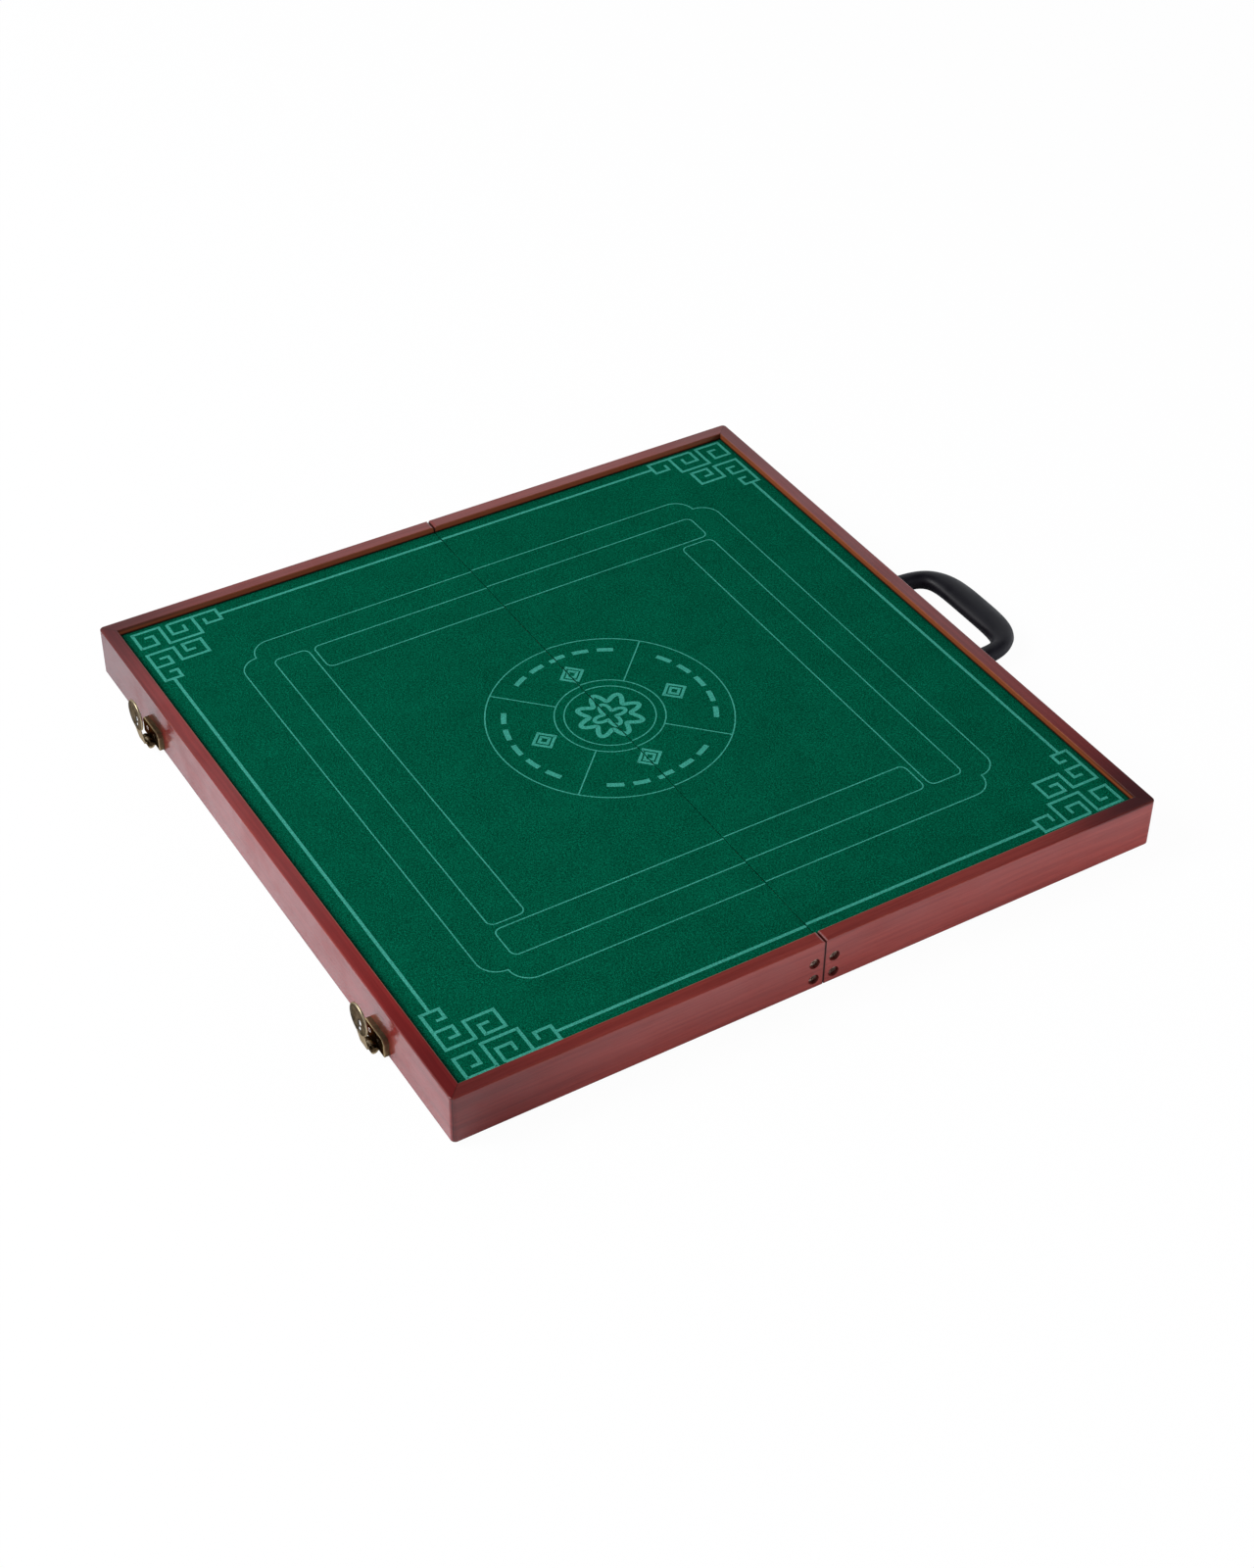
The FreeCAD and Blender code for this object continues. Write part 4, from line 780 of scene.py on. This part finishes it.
def spoonDisc():
    # disc round a keyhole, over the turn and over a loop from the keyhole out, round the rolled rim and back behind;
    # the keyhole's edge is the larger of the hole's radius and the ray to the slot's sides or foot
    turn = np.linspace(0.0, 2.0 * np.pi, tongue["turns"], endpoint=False)[:, None] + tongue["firstTurn"]
    ray = np.stack([np.sin(turn), np.cos(turn)], -1)
    wide, deep = tongue["slot"]
    slot = np.where(ray[..., 1] < 0.0, np.minimum(wide / np.abs(ray[..., 0]), deep / np.abs(ray[..., 1])), 0.0)
    hole = ray * np.maximum(slot, tongue["hole"][1])[..., None] - np.array([0.0, tongue["hole"][0]])
    rim = ray * tongue["radius"]
    face = hole + (rim - hole) * np.linspace(*tongue["face"])[None, :, None]
    level = -tongue["dish"] * (1.0 - np.sum(face ** 2, -1) / tongue["radius"] ** 2)
    roll = np.radians(np.linspace(*tongue["roll"]))
    edge = rim + ray * (tongue["bead"] * np.cos(roll))[None, :, None]
    lift = np.broadcast_to(tongue["bead"] * np.sin(roll), edge.shape[:2])
    flat = np.concatenate([face, edge, face[:, ::-1]], 1)
    height = np.concatenate([level + tongue["sheet"], lift, level[:, ::-1] - tongue["sheet"]], 1)
    points = np.stack([flat[..., 0], tongue["centre"][0] + height, tongue["centre"][1] + flat[..., 1]], -1)
    rows, cols = points.shape[:2]
    return points.reshape(-1, 3), (gridFaces(rows + 1, cols, True) % (rows * cols)).tolist()


def pressTongues():
    # the disc, the bar between its hole and its slot, the neck, the shank between the ears and the knuckle
    bars = [straightBar(*tongue[name]) for name in ("keyBar", "neck", "shank", "knuckle")]
    shape, faces = gather([spoonDisc()] + bars)
    px, py, pz = tongue["pin"]
    for name, side in (("near", -1.0), ("far", 1.0)):
        points = np.stack([px - shape[:, 1], side * py + shape[:, 0], pz + shape[:, 2]], -1)
        piece = newPiece(name + "_tongue_pressing", points * mm, faces, tongueBronze, name + "_tongue")
        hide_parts(name + "_latch_tongue")


pressTongues()
print("latch tongues pressed")

# floor, air and light: the air's strength eases over the height, the depth and the width of the view, and a light has
# its place, size and power
studio = {"floor": 30.0, "floorTone": rgb(0.87, 0.88, 0.92), "white": rgb(1.0, 1.0, 1.0), "glow": 0.97,
          "air": rgb(0.97, 0.99, 1.03), "horizon": (0.745, 0.86), "above": (0.795, 0.0), "lean": 0.30,
          "front": (-0.4, 0.3, 0.62, 1.0), "right": (0.2, 0.5, 0.84, 1.14),
          "key": ((-3.4, 1.3, 3.3), 2.4, 245.0), "fill": ((1.1, -1.9, 0.20), 0.3, 30.0)}


def placed(side, up, back, place):
    # matrix whose columns are three axes and a place
    return Matrix([[side[k], up[k], back[k], place[k]] for k in range(3)] + [[0, 0, 0, 1]])


def layFloor():
    # the floor is white to the eye and keeps a trace of the shadow; reflections meet it as a lit matt floor
    reach = studio["floor"]
    plane = bpy.data.meshes.new("studioFloor")
    plane.from_pydata([(-reach, -reach, 0), (reach, -reach, 0), (reach, reach, 0), (-reach, reach, 0)], [],
                      [(0, 1, 2, 3)])
    floor = bpy.data.objects.new("studioFloor", plane)
    bpy.context.scene.collection.objects.link(floor)
    material = bpy.data.materials.new("studioFloor")
    material.use_nodes = True
    tree = material.node_tree
    tree.nodes.remove(tree.nodes["Principled BSDF"])
    matt = addNode(tree, "ShaderNodeBsdfDiffuse", {"Color": studio["floorTone"]}).outputs[0]
    white = addNode(tree, "ShaderNodeEmission", {"Color": studio["white"], "Strength": 1.0}).outputs[0]
    seen = addNode(tree, "ShaderNodeLightPath").outputs["Is Camera Ray"]
    mix = addNode(tree, "ShaderNodeMixShader", {0: times(tree, seen, studio["glow"]), 1: matt, 2: white})
    wire(tree, tree.nodes["Material Output"], {"Surface": mix.outputs[0]})
    plane.materials.append(material)


def lightStudio():
    # bright low down behind the table and higher on its left, dark overhead, dimmer in front and on the left
    world = bpy.data.worlds.new("studioAir")
    world.use_nodes = True
    air = world.node_tree
    x, y, z = split(air, addNode(air, "ShaderNodeTexCoord").outputs["Generated"])
    (low, bright), (high, dim) = studio["horizon"], studio["above"]
    strength = times(air, ease(air, plus(air, z, times(air, x, studio["lean"])), low, high, bright, dim),
                     ease(air, y, *studio["front"]), ease(air, x, *studio["right"]))
    air.nodes["Background"].inputs["Color"].default_value = studio["air"]
    wire(air, air.nodes["Background"], {"Strength": strength})
    bpy.context.scene.world = world
    for name in ("key", "fill"):
        place, size, power = studio[name]
        lamp = bpy.data.lights.new(name + "Light", "AREA")
        lamp.size, lamp.energy = size, power
        box = bpy.data.objects.new(name + "Light", lamp)
        box.visible_glossy = name == "key"  # the low light in front leaves no streak on the rounded edges
        back = np.array(place) / np.linalg.norm(place)
        side = np.cross((0.0, 0.0, 1.0), back)
        side = side / np.linalg.norm(side)
        box.matrix_world = placed(side, np.cross(back, side), back, place)
        bpy.context.scene.collection.objects.link(box)


# camera: angles in degrees, lens and sensor in mm, the rest in metres
lensView = {"azimuth": -31.636, "elevation": 40.345, "roll": 0.776, "distance": 2.40994, "lens": 60.944,
            "sensor": 36.0, "clipEnd": 100.0, "target": (-0.007534, -0.046334, 0.004)}


def setCamera():
    # the camera looks back along a direction given by its azimuth and elevation, and its roll turns side and up
    a, e, r = (math.radians(lensView[key]) for key in ("azimuth", "elevation", "roll"))
    back = np.array([math.sin(a) * math.cos(e), -math.cos(a) * math.cos(e), math.sin(e)])
    side = np.array([math.cos(a), math.sin(a), 0.0])
    up = np.cross(back, side)
    right, top = math.cos(r) * side + math.sin(r) * up, -math.sin(r) * side + math.cos(r) * up
    eye = np.array(lensView["target"]) + back * lensView["distance"]
    lens = bpy.data.cameras.new("photoView")
    lens.lens, lens.sensor_width, lens.clip_end = lensView["lens"], lensView["sensor"], lensView["clipEnd"]
    camera = bpy.data.objects.new("photoView", lens)
    camera.matrix_world = placed(right, top, back, eye)
    bpy.context.scene.collection.objects.link(camera)
    bpy.context.scene.camera = camera


layFloor()
lightStudio()
setCamera()
bpy.context.scene.view_settings.view_transform = "Standard"
print("studio and camera set")
